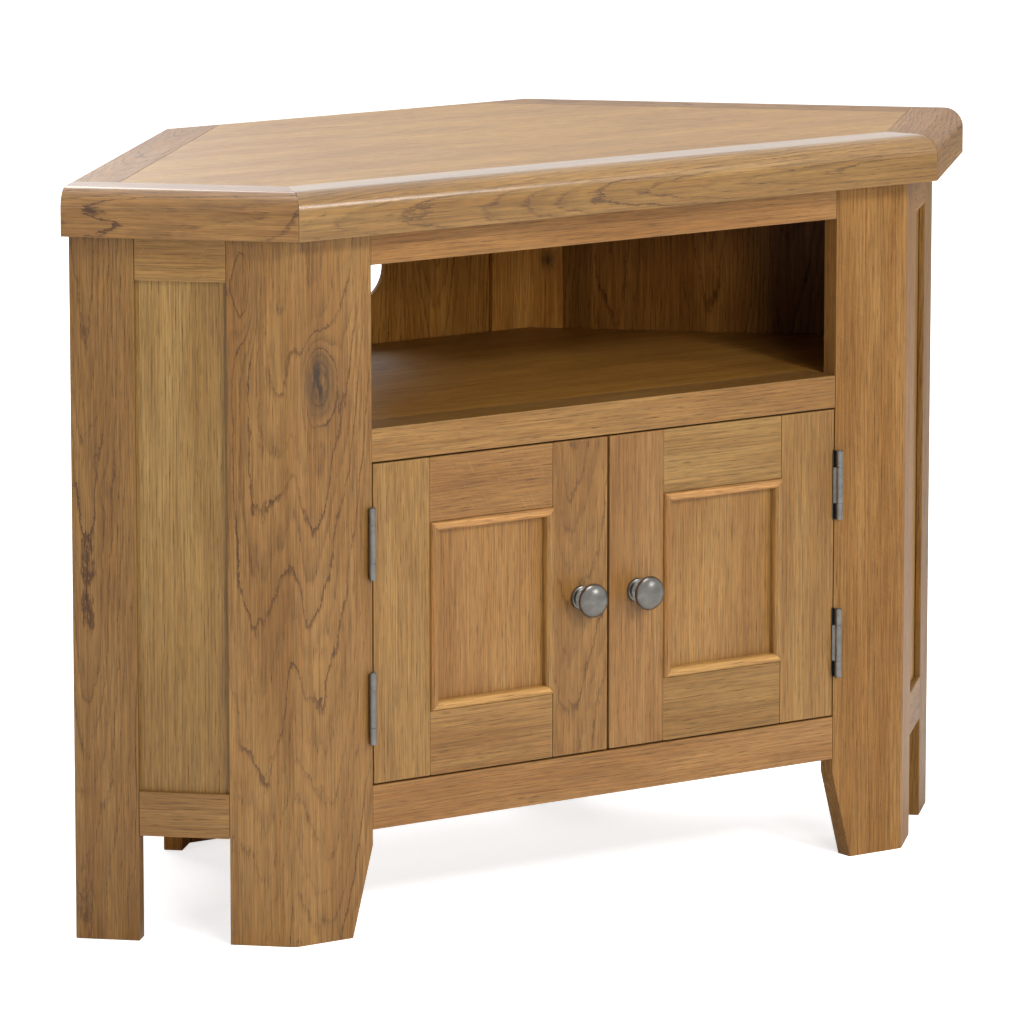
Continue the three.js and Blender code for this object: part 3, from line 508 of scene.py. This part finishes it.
def oak_material(name, board, cut, tone, seed, features=()):
    """Oak of one cut for a board. The tone is a factor, or one for each of red, green and blue."""
    material, graph = new_material(name)
    draw = random.Random(seed)
    settings = {"Specular": POLISHED, "Coat": 0.0, **CUTS[cut]}
    slope, beside, behind = settings["Pith"]
    slope *= draw.uniform(*SLOPE_SPREAD)
    beside += draw.uniform(*PITH_SHIFT)
    behind *= draw.uniform(*PITH_DEPTH_SPREAD)
    settings["Pith"] = (slope, beside, behind)
    settings["Offset"] = [draw.uniform(*WOOD_OFFSET) for _ in range(3)]
    settings["Half Size"] = board.half_size
    shades = tone if isinstance(tone, tuple) else (tone, tone, tone)
    settings["Tone"] = rgba(*(shade * draw.uniform(*SHADE_SPREAD) for shade in shades))
    settings.update(features)
    specular = settings.pop("Specular")
    coat = settings.pop("Coat")

    turn = Matrix(board.axes).transposed().to_euler()
    position = graph.add("ShaderNodeTexCoord").outputs["Object"]
    frame_of_board = {"Vector": position, "Location": board.centre, "Rotation": turn}
    place = graph.add("ShaderNodeMapping", frame_of_board, vector_type="TEXTURE").outputs[0]
    wood = graph.add("ShaderNodeGroup", node_tree=OAK_GROUP)
    for key, value in {"Position": place, **settings}.items():
        graph.feed(wood.inputs[key], value)
    graph.surface({
        "Base Color": wood.outputs["Color"],
        "Roughness": wood.outputs["Roughness"],
        "Normal": graph.bump(wood.outputs["Height"], WOOD_BUMP_STRENGTH, WOOD_BUMP_DEPTH),
        "IOR": WOOD_IOR,
        "Specular IOR Level": specular,
        "Coat Weight": coat,
        "Coat Roughness": COAT_ROUGHNESS,
    })
    return material


# --------------------------------------------------------------------------- metal and plastic

# Detail and roughness of the noise of the brush marks. Each metal stretches it in its own way.
BRUSH_MARKS = (2.0, 0.6)

# Other noise: how many of its spots there are to a millimetre, its detail and its roughness.
METAL_SMUDGES = ((0.12, 0.12, 0.12), 3.0, 0.6)
PLASTIC_SPARK = ((1.8, 1.8, 1.8), 2.0, 0.5)
PLASTIC_SMUDGES = ((0.06, 0.06, 0.06), 2.0, 0.5)

# Metal: how dark its handling marks are, and how they and the brush marks change its roughness.
METAL_MARK_SHADE = 0.80
METAL_MARK_RANGE = (0.30, 0.70)
METAL_MARK_ROUGHNESS = 0.12
METAL_BRUSH_ROUGHNESS = 0.08
METAL_BUMP_STRENGTH = 0.12
METAL_BUMP_DEPTH = 0.05 * MM

# Plastic: how dark its smudges are, its roughness and how much rougher the smudges are.
PLASTIC_MARK_SHADE = 0.86
PLASTIC_ROUGHNESS = 0.38
PLASTIC_MARK_ROUGHNESS = 0.2
PLASTIC_BUMP_STRENGTH = 0.2
PLASTIC_BUMP_DEPTH = 0.08 * MM


def brushed_metal(name, colour, roughness, stretch):
    """Satin metal with fine brush marks, stretched as given, and faint handling marks."""
    material, graph = new_material(name)
    place = graph.in_millimetres(graph.add("ShaderNodeTexCoord").outputs["Object"])
    brush = graph.noise(place, stretch, *BRUSH_MARKS)
    smudge = graph.noise(place, *METAL_SMUDGES)
    darker = rgba(*(channel * METAL_MARK_SHADE for channel in colour))
    tint = graph.mix(graph.ramp(smudge, *METAL_MARK_RANGE), rgba(*colour), darker)
    smoothest = roughness - METAL_MARK_ROUGHNESS / 2
    rough = graph.math("MULTIPLY_ADD", smudge, METAL_MARK_ROUGHNESS, smoothest)
    rough = graph.math("MULTIPLY_ADD", brush, METAL_BRUSH_ROUGHNESS, rough)
    normal = graph.bump(brush, METAL_BUMP_STRENGTH, METAL_BUMP_DEPTH)
    graph.surface({"Base Color": tint, "Metallic": 1.0, "Roughness": rough, "Normal": normal})
    return material


def moulded_plastic(name, colour):
    """Finely sparked plastic with faint smudges."""
    material, graph = new_material(name)
    place = graph.in_millimetres(graph.add("ShaderNodeTexCoord").outputs["Object"])
    spark = graph.noise(place, *PLASTIC_SPARK)
    smudge = graph.noise(place, *PLASTIC_SMUDGES)
    darker = rgba(*(channel * PLASTIC_MARK_SHADE for channel in colour))
    tint = graph.mix(smudge, rgba(*colour), darker)
    rough = graph.math("MULTIPLY_ADD", smudge, PLASTIC_MARK_ROUGHNESS, PLASTIC_ROUGHNESS)
    normal = graph.bump(spark, PLASTIC_BUMP_STRENGTH, PLASTIC_BUMP_DEPTH)
    graph.surface({"Base Color": tint, "Roughness": rough, "Normal": normal})
    return material


NICKEL = brushed_metal("satin_nickel", (0.215, 0.205, 0.188), 0.27, (1.0, 1.0, 1.0))
STEEL = brushed_metal("satin_steel", (0.245, 0.240, 0.226), 0.36, (2.2, 2.2, 0.10))
SCREW_STEEL = brushed_metal("screw_steel", (0.40, 0.40, 0.40), 0.36, (1.5, 1.5, 1.5))
CATCH_PLASTIC = moulded_plastic("catch_plastic", (0.62, 0.60, 0.55))


# ---------------------------------------------------------------------------- finish of a piece

# Edges that turn by more than SHARP_ANGLE are eased and shaded sharp. Faces of the top that turn
# by less than FLAT_ANGLE become one face. Points nearer than WELD_DISTANCE become one point.
SHARP_ANGLE = math.radians(28)
FLAT_ANGLE = math.radians(0.8)
WELD_DISTANCE = 0.01 * MM
EASE_SEGMENTS = 2

# How wide the eased edges are on each kind of piece.
NO_EASE = 0
TOP_EASE = 0.3 * MM
BOARD_EASE = 0.9 * MM
BEAD_EASE = 0.15 * MM
PLASTIC_EASE = 0.8 * MM
STEEL_EASE = 0.12 * MM


def make_smoothing_group():
    """Smooth shading, except over sharp edges."""
    tree = bpy.data.node_groups.new("smooth_by_angle", "GeometryNodeTree")
    tree.interface.new_socket("Geometry", in_out="INPUT", socket_type="NodeSocketGeometry")
    tree.interface.new_socket("Geometry", in_out="OUTPUT", socket_type="NodeSocketGeometry")
    graph = Graph(tree)
    mesh = graph.add("NodeGroupInput").outputs[0]
    angle = graph.add("GeometryNodeInputMeshEdgeAngle").outputs["Unsigned Angle"]
    turns = {0: angle, 1: SHARP_ANGLE}
    soft = graph.add("FunctionNodeCompare", turns, data_type="FLOAT", operation="LESS_THAN")
    smooth_faces = {"Geometry": mesh, "Shade Smooth": True}
    faces = graph.add("GeometryNodeSetShadeSmooth", smooth_faces, domain="FACE")
    smooth_edges = {"Geometry": faces.outputs[0], "Shade Smooth": soft.outputs[0]}
    edges = graph.add("GeometryNodeSetShadeSmooth", smooth_edges, domain="EDGE")
    graph.add("NodeGroupOutput", {0: edges.outputs[0]})
    return tree


SMOOTHING = make_smoothing_group()


def finish_mesh(piece, ease):
    """Welds a piece's facets together, eases its sharp edges and shades the rest smooth."""
    weld = piece.modifiers.new("weld", "WELD")
    weld.merge_threshold = WELD_DISTANCE
    if piece.name.startswith("top_"):
        flat = piece.modifiers.new("flat_faces", "DECIMATE")
        flat.decimate_type = "DISSOLVE"
        flat.angle_limit = FLAT_ANGLE
    if ease > NO_EASE:
        bevel = piece.modifiers.new("eased_edges", "BEVEL")
        bevel.width = ease
        bevel.segments = EASE_SEGMENTS
        bevel.limit_method = "ANGLE"
        bevel.angle_limit = SHARP_ANGLE
        bevel.use_clamp_overlap = True
    smooth = piece.modifiers.new("smooth", "NODES")
    smooth.node_group = SMOOTHING
    weighted = piece.modifiers.new("weighted", "WEIGHTED_NORMAL")
    weighted.keep_sharp = True


def set_material(piece, material):
    if not piece.material_slots:
        piece.data.materials.append(material)
    for slot in piece.material_slots:
        slot.material = material


# --------------------------------------------------------------------------------------- boards


def hand_of(name):
    """-1 on the left of the cabinet and 1 on its right."""
    return -1 if "left" in name else 1


def side_way(name):
    """Along the cabinet's side, which stands at 45 degrees to the front."""
    return Vector((hand_of(name), 1, 0)).normalized()


def wall_way(name):
    """Along the room's wall, which is square to the cabinet's side."""
    return Vector((-hand_of(name), 1, 0)).normalized()


# Boards by the start of their names: which way the grain and the face run, the cut, and the tone that
# multiplies the colour of the wood. Some tones of boards inside the bay carry painted light or painted
# shade.
# Partly the wood's own tone, partly painted light: the inside boards are painted brighter where light
# falls into the bay.
INSIDE_TONE_AND_PAINTED_LIGHT = (1.14, 0.95, 0.70)
BOARDS = (
    ("top_field_board", X, Y, "straight", (1.10, 1.12, 0.68)),
    ("top_front_lipping", X, Z, "arched", (0.90, 0.92, 0.90)),
    ("top_side_lipping", side_way, Z, "arched", (0.88, 0.86, 0.82)),
    ("top_wall_strip", wall_way, side_way, "arched", (0.80, 0.78, 0.62)),
    ("front_post_left", Z, X, "arched", (0.86, 0.86, 0.88)),
    ("front_post_right", Z, X, "straight", 0.95),
    ("rear_side_post", Z, side_way, "arched", (0.76, 0.74, 0.68)),
    # The back legs' tone is partly painted light: they are painted brighter where light falls into the
    # bay.
    ("back_leg", Z, wall_way, "straight", (1.46, 1.24, 0.95)),
    ("side_top_rail", side_way, Z, "straight", 0.95),
    ("side_bottom_rail", side_way, Z, "straight", 0.82),
    ("side_panel", Z, side_way, "fine", (1.0, 1.08, 1.15)),
    ("wall_bottom_rail", wall_way, Z, "straight", 0.92),
    # The right wall panel is painted darker, as painted shade behind the right post.
    ("wall_panel_right", Z, wall_way, "arched", (0.64, 0.50, 0.33)),
    ("wall_panel_left", Z, wall_way, "arched", INSIDE_TONE_AND_PAINTED_LIGHT),
    ("back_bottom_rail", X, Z, "straight", 0.92),
    ("back_panel_centre", Z, X, "arched", INSIDE_TONE_AND_PAINTED_LIGHT),
    ("front_top_rail", X, Z, "straight", 1.0),
    ("front_bottom_rail", X, Z, "straight", 0.98),
    ("shelf_front_lipping", X, Z, "straight", 1.0),
    # The shelf is painted brighter, as painted light falling on it.
    ("media_shelf", X, Y, "straight", (1.26, 1.18, 0.92)),
    ("cupboard_floor", X, Y, "straight", 0.92),
    ("door_left_outer_stile", Z, X, "fine", 0.96),
    ("door_left_inner_stile", Z, X, "arched", (0.90, 0.87, 0.84)),
    ("door_right_outer_stile", Z, X, "straight", (1.0, 1.04, 1.04)),
    ("door_right_inner_stile", Z, X, "straight", 0.96),
    ("door_left_top_rail", X, Z, "fine", (0.93, 0.88, 0.88)),
    ("door_right_top_rail", X, Z, "fine", (1.0, 1.05, 1.1)),
    ("door_left_bottom_rail", X, Z, "straight", 0.95),
    ("door_right_bottom_rail", X, Z, "straight", 0.91),
    ("door_left_panel", Z, X, "fine", (1.0, 0.97, 0.97)),
    ("door_right_panel", Z, X, "fine", (1.0, 0.99, 0.97)),
)

# What single boards show. A centre is a point of the room in metres. A reach is in millimetres,
# along the grain, across the face and through it.
FEATURES = {
    "front_post_left": {
        "Knot Centre": (-0.312, -0.195, 0.503), "Knot Reach": (34, 16, 24),
        "Knot Lift": 22.0, "Knot Dark": 1.0,
        "Eye Centre": (-0.3694, -0.1646, 0.590), "Eye Reach": (50, 11, 14),
        "Eye Lift": 20.0, "Eye Dark": 0.12,
    },
    "rear_side_post_left": {
        "Knot Centre": (-0.4664, -0.0676, 0.441), "Knot Reach": (30, 8, 14),
        "Knot Lift": 4.0, "Knot Dark": 0.24,
        "Eye Centre": (-0.4580, -0.0760, 0.405), "Eye Reach": (16, 7, 12),
        "Eye Lift": 3.0, "Eye Dark": 0.22,
    },
    "back_leg_right": {
        "Knot Centre": (0.205, 0.190, 0.520), "Knot Reach": (12, 9, 14),
        "Knot Lift": 8.0, "Knot Dark": 1.0, "Specular": DULL,
    },
    "door_left_top_rail": {"Rays": 0.8},
    "side_top_rail_left": {"Rays": 0.5},
    "front_post_right": {"Rays": 0.35, "Specular": LOW_SHEEN},
    "rear_side_post_right": {"Specular": LOW_SHEEN},
    "side_panel_right": {"Specular": LOW_SHEEN},
    "side_top_rail_right": {"Specular": LOW_SHEEN},
    "side_bottom_rail_right": {"Specular": LOW_SHEEN},
    "top_front_lipping": {"Coat": 0.8},
    "top_side_lipping_left": {"Coat": 0.6},
    "top_side_lipping_right": {"Specular": TOP_EDGE_SHEEN},
    "top_wall_strip_left": {"Specular": TOP_EDGE_SHEEN},
    "top_wall_strip_right": {"Specular": TOP_EDGE_SHEEN},
    "wall_panel_left": {"Plank Width": 86.0, "Specular": DULL},
    "wall_panel_right": {"Plank Width": 86.0, "Specular": DULL},
    "back_panel_centre": {"Plank Width": 102.0, "Specular": DULL},
    "media_shelf": {"Plank Width": 96.0},
    "back_leg_left": {"Specular": DULL},
}


def axis_of(way, name):
    return way(name) if callable(way) else way


def finish_board(name, piece):
    """Gives a board its oak and its eased edges. Says whether the piece is a board."""
    for start, along, across, cut, tone in BOARDS:
        if name.startswith(start):
            board = Board(piece, axis_of(along, name), axis_of(across, name))
            features = dict(FEATURES.get(name, {}))
            for key in ("Knot Centre", "Eye Centre"):
                if key in features:
                    features[key] = board.local(features[key])
            seed = sum((place + 1) * ord(letter) for place, letter in enumerate(name))
            set_material(piece, oak_material("oak_" + name, board, cut, tone, seed, features))
            finish_mesh(piece, TOP_EASE if name.startswith("top_") else BOARD_EASE)
            return True
    return False


# ------------------------------------------------------------------------------ detailed pieces


def mesh_piece(name, vertices, faces, body):
    """A new piece that rides on a body."""
    mesh = bpy.data.meshes.new(name)
    mesh.from_pydata([tuple(vertex) for vertex in vertices], [], faces)
    mesh.update()
    piece = bpy.data.objects.new(name, mesh)
    bpy.context.scene.collection.objects.link(piece)
    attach(piece, body)
    return piece


def rings_to_mesh(rings):
    """Vertices and faces of a stack of rings. A ring of one point closes an end."""
    vertices, rows, faces = [], [], []
    segments = max(len(ring) for ring in rings)
    for ring in rings:
        rows.append([len(vertices) + step % len(ring) for step in range(segments)])
        vertices.extend(ring)
    for low, high in zip(rows, rows[1:]):
        for step in range(segments):
            after = (step + 1) % segments
            corners = [low[step], low[after], high[after], high[step]]
            face = [corner for place, corner in enumerate(corners) if corner not in corners[:place]]
            if len(face) > 2:
                faces.append(face)
    return vertices, faces


def turned(profile, segments):
    """A solid of a profile turned about Z. The profile is pairs of a radius, or a function that
    gives the radius at an angle, and a height."""
    rings = []
    for radius, height in profile:
        if radius == 0:
            rings.append([Vector((0, 0, height))])
            continue
        ring = []
        for step in range(segments):
            angle = 2 * math.pi * step / segments
            reach = radius(angle) if callable(radius) else radius
            ring.append(Vector((reach * math.cos(angle), reach * math.sin(angle), height)))
        rings.append(ring)
    return rings_to_mesh(rings)


def rounded(points, steps):
    """A smooth line through points, with the given steps between each two of them."""
    line = []
    for index in range(len(points) - 1):
        p0 = Vector(points[max(index - 1, 0)])
        p1, p2 = Vector(points[index]), Vector(points[index + 1])
        p3 = Vector(points[min(index + 2, len(points) - 1)])
        for step in range(steps):
            t = step / steps
            line.append(tuple(0.5 * (
                2 * p1 + (p2 - p0) * t
                + (2 * p0 - 5 * p1 + 4 * p2 - p3) * t ** 2
                + (3 * p1 - p0 - 3 * p2 + p3) * t ** 3)))
    return line + [tuple(points[-1])]


# A knob's profile from the door outwards, as parts of its radius and of its length.
KNOB_BASE = ((0, 0), (0.69, 0), (0.695, 0.045), (0.665, 0.085), (0.60, 0.105), (0.565, 0.108))
KNOB_NECK = (
    (0.50, 0.120), (0.40, 0.165), (0.325, 0.235), (0.310, 0.320), (0.345, 0.420),
    (0.475, 0.505), (0.690, 0.575), (0.900, 0.630), (0.985, 0.665), (1.0, 0.700),
)
KNOB_NECK_STEPS = 4
KNOB_DOME_HEIGHT = 0.300
KNOB_DOME_STEPS = 14
KNOB_SEGMENTS = 64


def make_knob(word):
    """A mushroom knob: a stepped base, a waisted neck and a flattened dome."""
    node = f"door_{word}_knob"
    low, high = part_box(node)
    radius = (high.x - low.x) / 2
    length = high.y - low.y
    dome = []
    for step in range(1, KNOB_DOME_STEPS):
        turn = math.pi / 2 * step / KNOB_DOME_STEPS
        rise = KNOB_NECK[-1][1] + KNOB_DOME_HEIGHT * math.sin(turn)
        dome.append((math.cos(turn), rise))
    shape = [*KNOB_BASE, *rounded(KNOB_NECK, KNOB_NECK_STEPS), *dome, (0, 1.0)]
    profile = [(reach * radius, height * length) for reach, height in shape]
    vertices, faces = turned(profile, KNOB_SEGMENTS)
    foot = Vector(((low.x + high.x) / 2, high.y, (low.z + high.z) / 2))
    placed = [foot + Vector((vertex.x, -vertex.z, vertex.y)) for vertex in vertices]
    knob = mesh_piece(node + "_turned", placed, faces, f"door_{word}")
    set_material(knob, NICKEL)
    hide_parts(node)
    finish_mesh(knob, NO_EASE)


# Screws of a hinge leaf: the head's radius and how far it stands proud, the distance from one
# screw to the next, and how far the middle one and the outer ones stand off the middle line.
SCREW_RADIUS = 3.1 * MM
SCREW_PROUD = 0.05 * MM
SCREW_SPACING = 21 * MM
SCREW_ZIGZAG = 2.4 * MM
SCREW_SEGMENTS = 48

# The head's outline, as parts of its radius and of its rise, and its rise and the reach of its
# cross recess, as parts of its radius. The recess narrows towards its floor.
SCREW_HEAD = ((0, -1), (1, -1), (1, 0), (0.9, 0.55), (0.72, 1))
SCREW_RISE = 0.11
CROSS_ARM = 0.58
CROSS_WAIST = 0.17
CROSS_HALF_ANGLE = math.radians(13)
CROSS_TAPER = 0.8
CROSS_FLOOR = -0.9


def screw_profile(radius):
    """A raised countersunk head with a cross recess, in the XY plane and facing +Z."""
    quarter = math.pi / 2

    def cross(angle):
        from_arm = abs((angle + quarter / 2) % quarter - quarter / 2)
        return radius * (CROSS_ARM if from_arm < CROSS_HALF_ANGLE else CROSS_WAIST)

    def cross_floor(angle):
        return cross(angle) * CROSS_TAPER

    rise = radius * SCREW_RISE
    floor = rise * CROSS_FLOOR
    head = [(reach * radius, height * rise) for reach, height in SCREW_HEAD]
    return [*head, (cross, rise), (cross_floor, floor), (0, floor)]


def make_hinge_screws(word, level):
    """Three screws in each leaf, in a zigzag, on the face that shows while the door is open."""
    hand = hand_of(word)
    low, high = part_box(f"hinge_{word}_{level}_door_leaf")
    middle = (low.z + high.z) / 2
    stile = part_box(f"door_{word}_outer_stile")
    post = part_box(f"front_post_{word}")
    depth = (stile[0].y + high.y) / 2
    door_edge = max(abs(corner.x) for corner in stile)
    post_edge = min(abs(corner.x) for corner in post)
    leaves = (("door", door_edge, 1, f"door_{word}"), ("frame", post_edge, -1, "carcass"))
    head, head_faces = turned(screw_profile(SCREW_RADIUS), SCREW_SEGMENTS)
    for leaf, place, facing, body in leaves:
        out = Vector((hand * facing, 0, 0))
        turn = out.to_track_quat("Z", "Y").to_matrix()
        vertices, faces = [], []
        for number in (-1, 0, 1):
            zigzag = SCREW_ZIGZAG * (1 if number == 0 else -1)
            centre = Vector((hand * place, depth + zigzag, middle + number * SCREW_SPACING))
            start = len(vertices)
            vertices.extend(centre + out * SCREW_PROUD + turn @ vertex for vertex in head)
            faces.extend([start + corner for corner in face] for face in head_faces)
        name = f"hinge_{word}_{level}_{leaf}_screws"
        screws = mesh_piece(name, vertices, faces, body)
        set_material(screws, SCREW_STEEL)
        finish_mesh(screws, NO_EASE)


# The bead round a door's panel: half-round strips. Their tones carry a painted highlight on the round,
# and the level strips are painted much paler, as a painted highlight where light falls on them.
BEAD_WIDTH = 8 * MM
BEAD_STEPS = 24
BEAD_SEED = 31
LEVEL_BEAD_TONE_AND_HIGHLIGHT = (1.62, 1.66, 1.8)
UPRIGHT_BEAD_TONE_AND_HIGHLIGHT = (1.12, 1.12, 1.1)


def bead_section(base, peak):
    """The half-round outline: pairs of a place across the strip and a depth of the room."""
    radius = BEAD_WIDTH / 2
    section = [(0.0, base)]
    for step in range(BEAD_STEPS + 1):
        turn = math.pi * step / BEAD_STEPS
        section.append((radius - radius * math.cos(turn), peak + radius - radius * math.sin(turn)))
    section.append((BEAD_WIDTH, base))
    return section


def make_bead(word):
    """Four mitred strips of half-round moulding round the door's panel."""
    node = f"door_{word}_bead"
    low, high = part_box(node)
    section = bead_section(high.y, low.y)
    count = len(section)
    corners = (
        (low.x, low.z, 1, 1), (high.x, low.z, -1, 1), (high.x, high.z, -1, -1), (low.x, high.z, 1, -1),
    )
    for index, side in enumerate(("bottom", "right", "top", "left")):
        vertices = []
        for x, z, step_x, step_z in (corners[index], corners[(index + 1) % len(corners)]):
            vertices += [Vector((x + step_x * u, y, z + step_z * u)) for u, y in section]
        faces = [
            [place, (place + 1) % count, count + (place + 1) % count, count + place]
            for place in range(count)
        ]
        faces += [list(range(count))[::-1], list(range(count, 2 * count))]
        name = f"door_{word}_bead_{side}"
        strip = mesh_piece(name, vertices, faces, f"door_{word}")
        level = side in ("bottom", "top")
        # The level strips get the stronger painted highlight.
        along, across, tone = (X, Z, LEVEL_BEAD_TONE_AND_HIGHLIGHT) if level else (Z, X, UPRIGHT_BEAD_TONE_AND_HIGHLIGHT)
        board = Board(strip, along, across)
        set_material(strip, oak_material("oak_" + name, board, "fine", tone, BEAD_SEED + index))
        finish_mesh(strip, BEAD_EASE)
        if index == 0:
            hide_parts(node)


# The catch's two magnets and the pair of steel plates on each one.
MAGNET_OFFSET = 12 * MM
PLATE_OFFSET = 2.6 * MM
PLATE_HALF_SIZE = Vector((8 * MM, 0.35 * MM, 0.7 * MM))

# A box's faces, by corners numbered with one bit for each axis.
BOX_FACES = ((0, 2, 3, 1), (4, 5, 7, 6), (0, 1, 5, 4), (2, 6, 7, 3), (0, 4, 6, 2), (1, 3, 7, 5))


def make_catch_plates():
    """The steel pole pieces of the two magnets, at the front of the catch."""
    low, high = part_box("twin_magnetic_catch")
    middle = Vector(((low.x + high.x) / 2, low.y, (low.z + high.z) / 2))
    vertices, faces = [], []
    for magnet in (-1, 1):
        for plate in (-1, 1):
            centre = middle + Vector((magnet * MAGNET_OFFSET, 0, plate * PLATE_OFFSET))
            start = len(vertices)
            for corner in range(8):
                signs = Vector([1 if corner >> bit & 1 else -1 for bit in range(3)])
                vertices.append(centre + signs * PLATE_HALF_SIZE)
            faces += [[start + corner for corner in face] for face in BOX_FACES]
    plates = mesh_piece("catch_pole_plates", vertices, faces, "carcass")
    set_material(plates, STEEL)
    finish_mesh(plates, STEEL_EASE)


# --------------------------------------------------------------------------------------- studio


def make_camera():
    data = bpy.data.cameras.new("camera")
    data.lens = CAMERA_LENS
    data.sensor_width = SENSOR_WIDTH
    data.clip_start = CLIP_START
    data.clip_end = CLIP_END
    holder = bpy.data.objects.new("camera", data)
    level = math.cos(CAMERA_PITCH)
    forward = Vector((
        math.sin(CAMERA_AZIMUTH) * level,
        math.cos(CAMERA_AZIMUTH) * level,
        -math.sin(CAMERA_PITCH),
    ))
    holder.location = CAMERA_POSITION
    holder.rotation_mode = "QUATERNION"
    holder.rotation_quaternion = forward.to_track_quat("-Z", "Y")
    bpy.context.scene.collection.objects.link(holder)
    bpy.context.scene.camera = holder


def make_lamp(name, azimuth, elevation, distance, size, power, mirrored):
    """A soft square lamp aimed at the middle of the cabinet."""
    data = bpy.data.lights.new(name, "AREA")
    data.shape = "SQUARE"
    data.size = size
    data.energy = power
    holder = bpy.data.objects.new(name, data)
    holder.visible_glossy = mirrored
    turn, rise = math.radians(azimuth), math.radians(elevation)
    away = Vector((
        math.sin(turn) * math.cos(rise),
        -math.cos(turn) * math.cos(rise),
        math.sin(rise),
    ))
    target = (CAD_BOX[0] + CAD_BOX[1]) / 2
    holder.location = target + away * distance
    holder.rotation_mode = "QUATERNION"
    holder.rotation_quaternion = (-away).to_track_quat("-Z", "Y")
    bpy.context.scene.collection.objects.link(holder)


def make_surround():
    """A surround that looks white and lights the room softly."""
    world = bpy.data.worlds.new("studio")
    world.use_nodes = True
    world.node_tree.nodes.clear()
    graph = Graph(world.node_tree)
    rays = graph.add("ShaderNodeLightPath").outputs
    seen = graph.math("MAXIMUM", rays["Is Camera Ray"], rays["Is Glossy Ray"])
    strength = graph.math("MULTIPLY_ADD", seen, 1.0 - SURROUND, SURROUND)
    surround = {"Color": rgba(1, 1, 1), "Strength": strength}
    background = graph.add("ShaderNodeBackground", surround).outputs[0]
    graph.add("ShaderNodeOutputWorld", {"Surface": background})
    bpy.context.scene.world = world


def make_floor():
    """A pale floor that fades into the surround."""
    bpy.ops.mesh.primitive_plane_add(size=FLOOR_SIZE)
    floor = bpy.context.object
    floor.name = "floor"
    floor.location.z = CAD_BOX[0].z - FLOOR_GAP
    material, graph = new_material("floor_paint")
    seen = graph.add("ShaderNodeLightPath").outputs["Is Camera Ray"]
    place = graph.add("ShaderNodeTexCoord").outputs["Object"]
    away = graph.vector("LENGTH", place, output="Value")
    fade = graph.ramp(away, *FLOOR_GLOW_FADE)
    glow = graph.math("MULTIPLY_ADD", fade, FLOOR_GLOW_GAIN, FLOOR_GLOW_NEAR)
    graph.surface({
        "Base Color": rgba(FLOOR_PAINT, FLOOR_PAINT, FLOOR_PAINT),
        "Roughness": FLOOR_ROUGHNESS,
        "Specular IOR Level": FLOOR_SHEEN,
        "Emission Color": rgba(1, 1, 1),
        "Emission Strength": graph.math("MULTIPLY", glow, seen),
    })
    set_material(floor, material)


make_camera()
make_surround()
make_floor()
for lamp in LAMPS:
    make_lamp(*lamp)
bpy.context.scene.view_settings.view_transform = "Standard"
bpy.context.scene.view_settings.look = "None"

for name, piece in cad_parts.items():
    if finish_board(name, piece):
        continue
    if name == "twin_magnetic_catch":
        set_material(piece, CATCH_PLASTIC)
        finish_mesh(piece, PLASTIC_EASE)
    else:
        set_material(piece, STEEL)
        finish_mesh(piece, STEEL_EASE)

for word in ("left", "right"):
    make_knob(word)
    make_bead(word)
    for level in ("upper", "lower"):
        make_hinge_screws(word, level)
make_catch_plates()
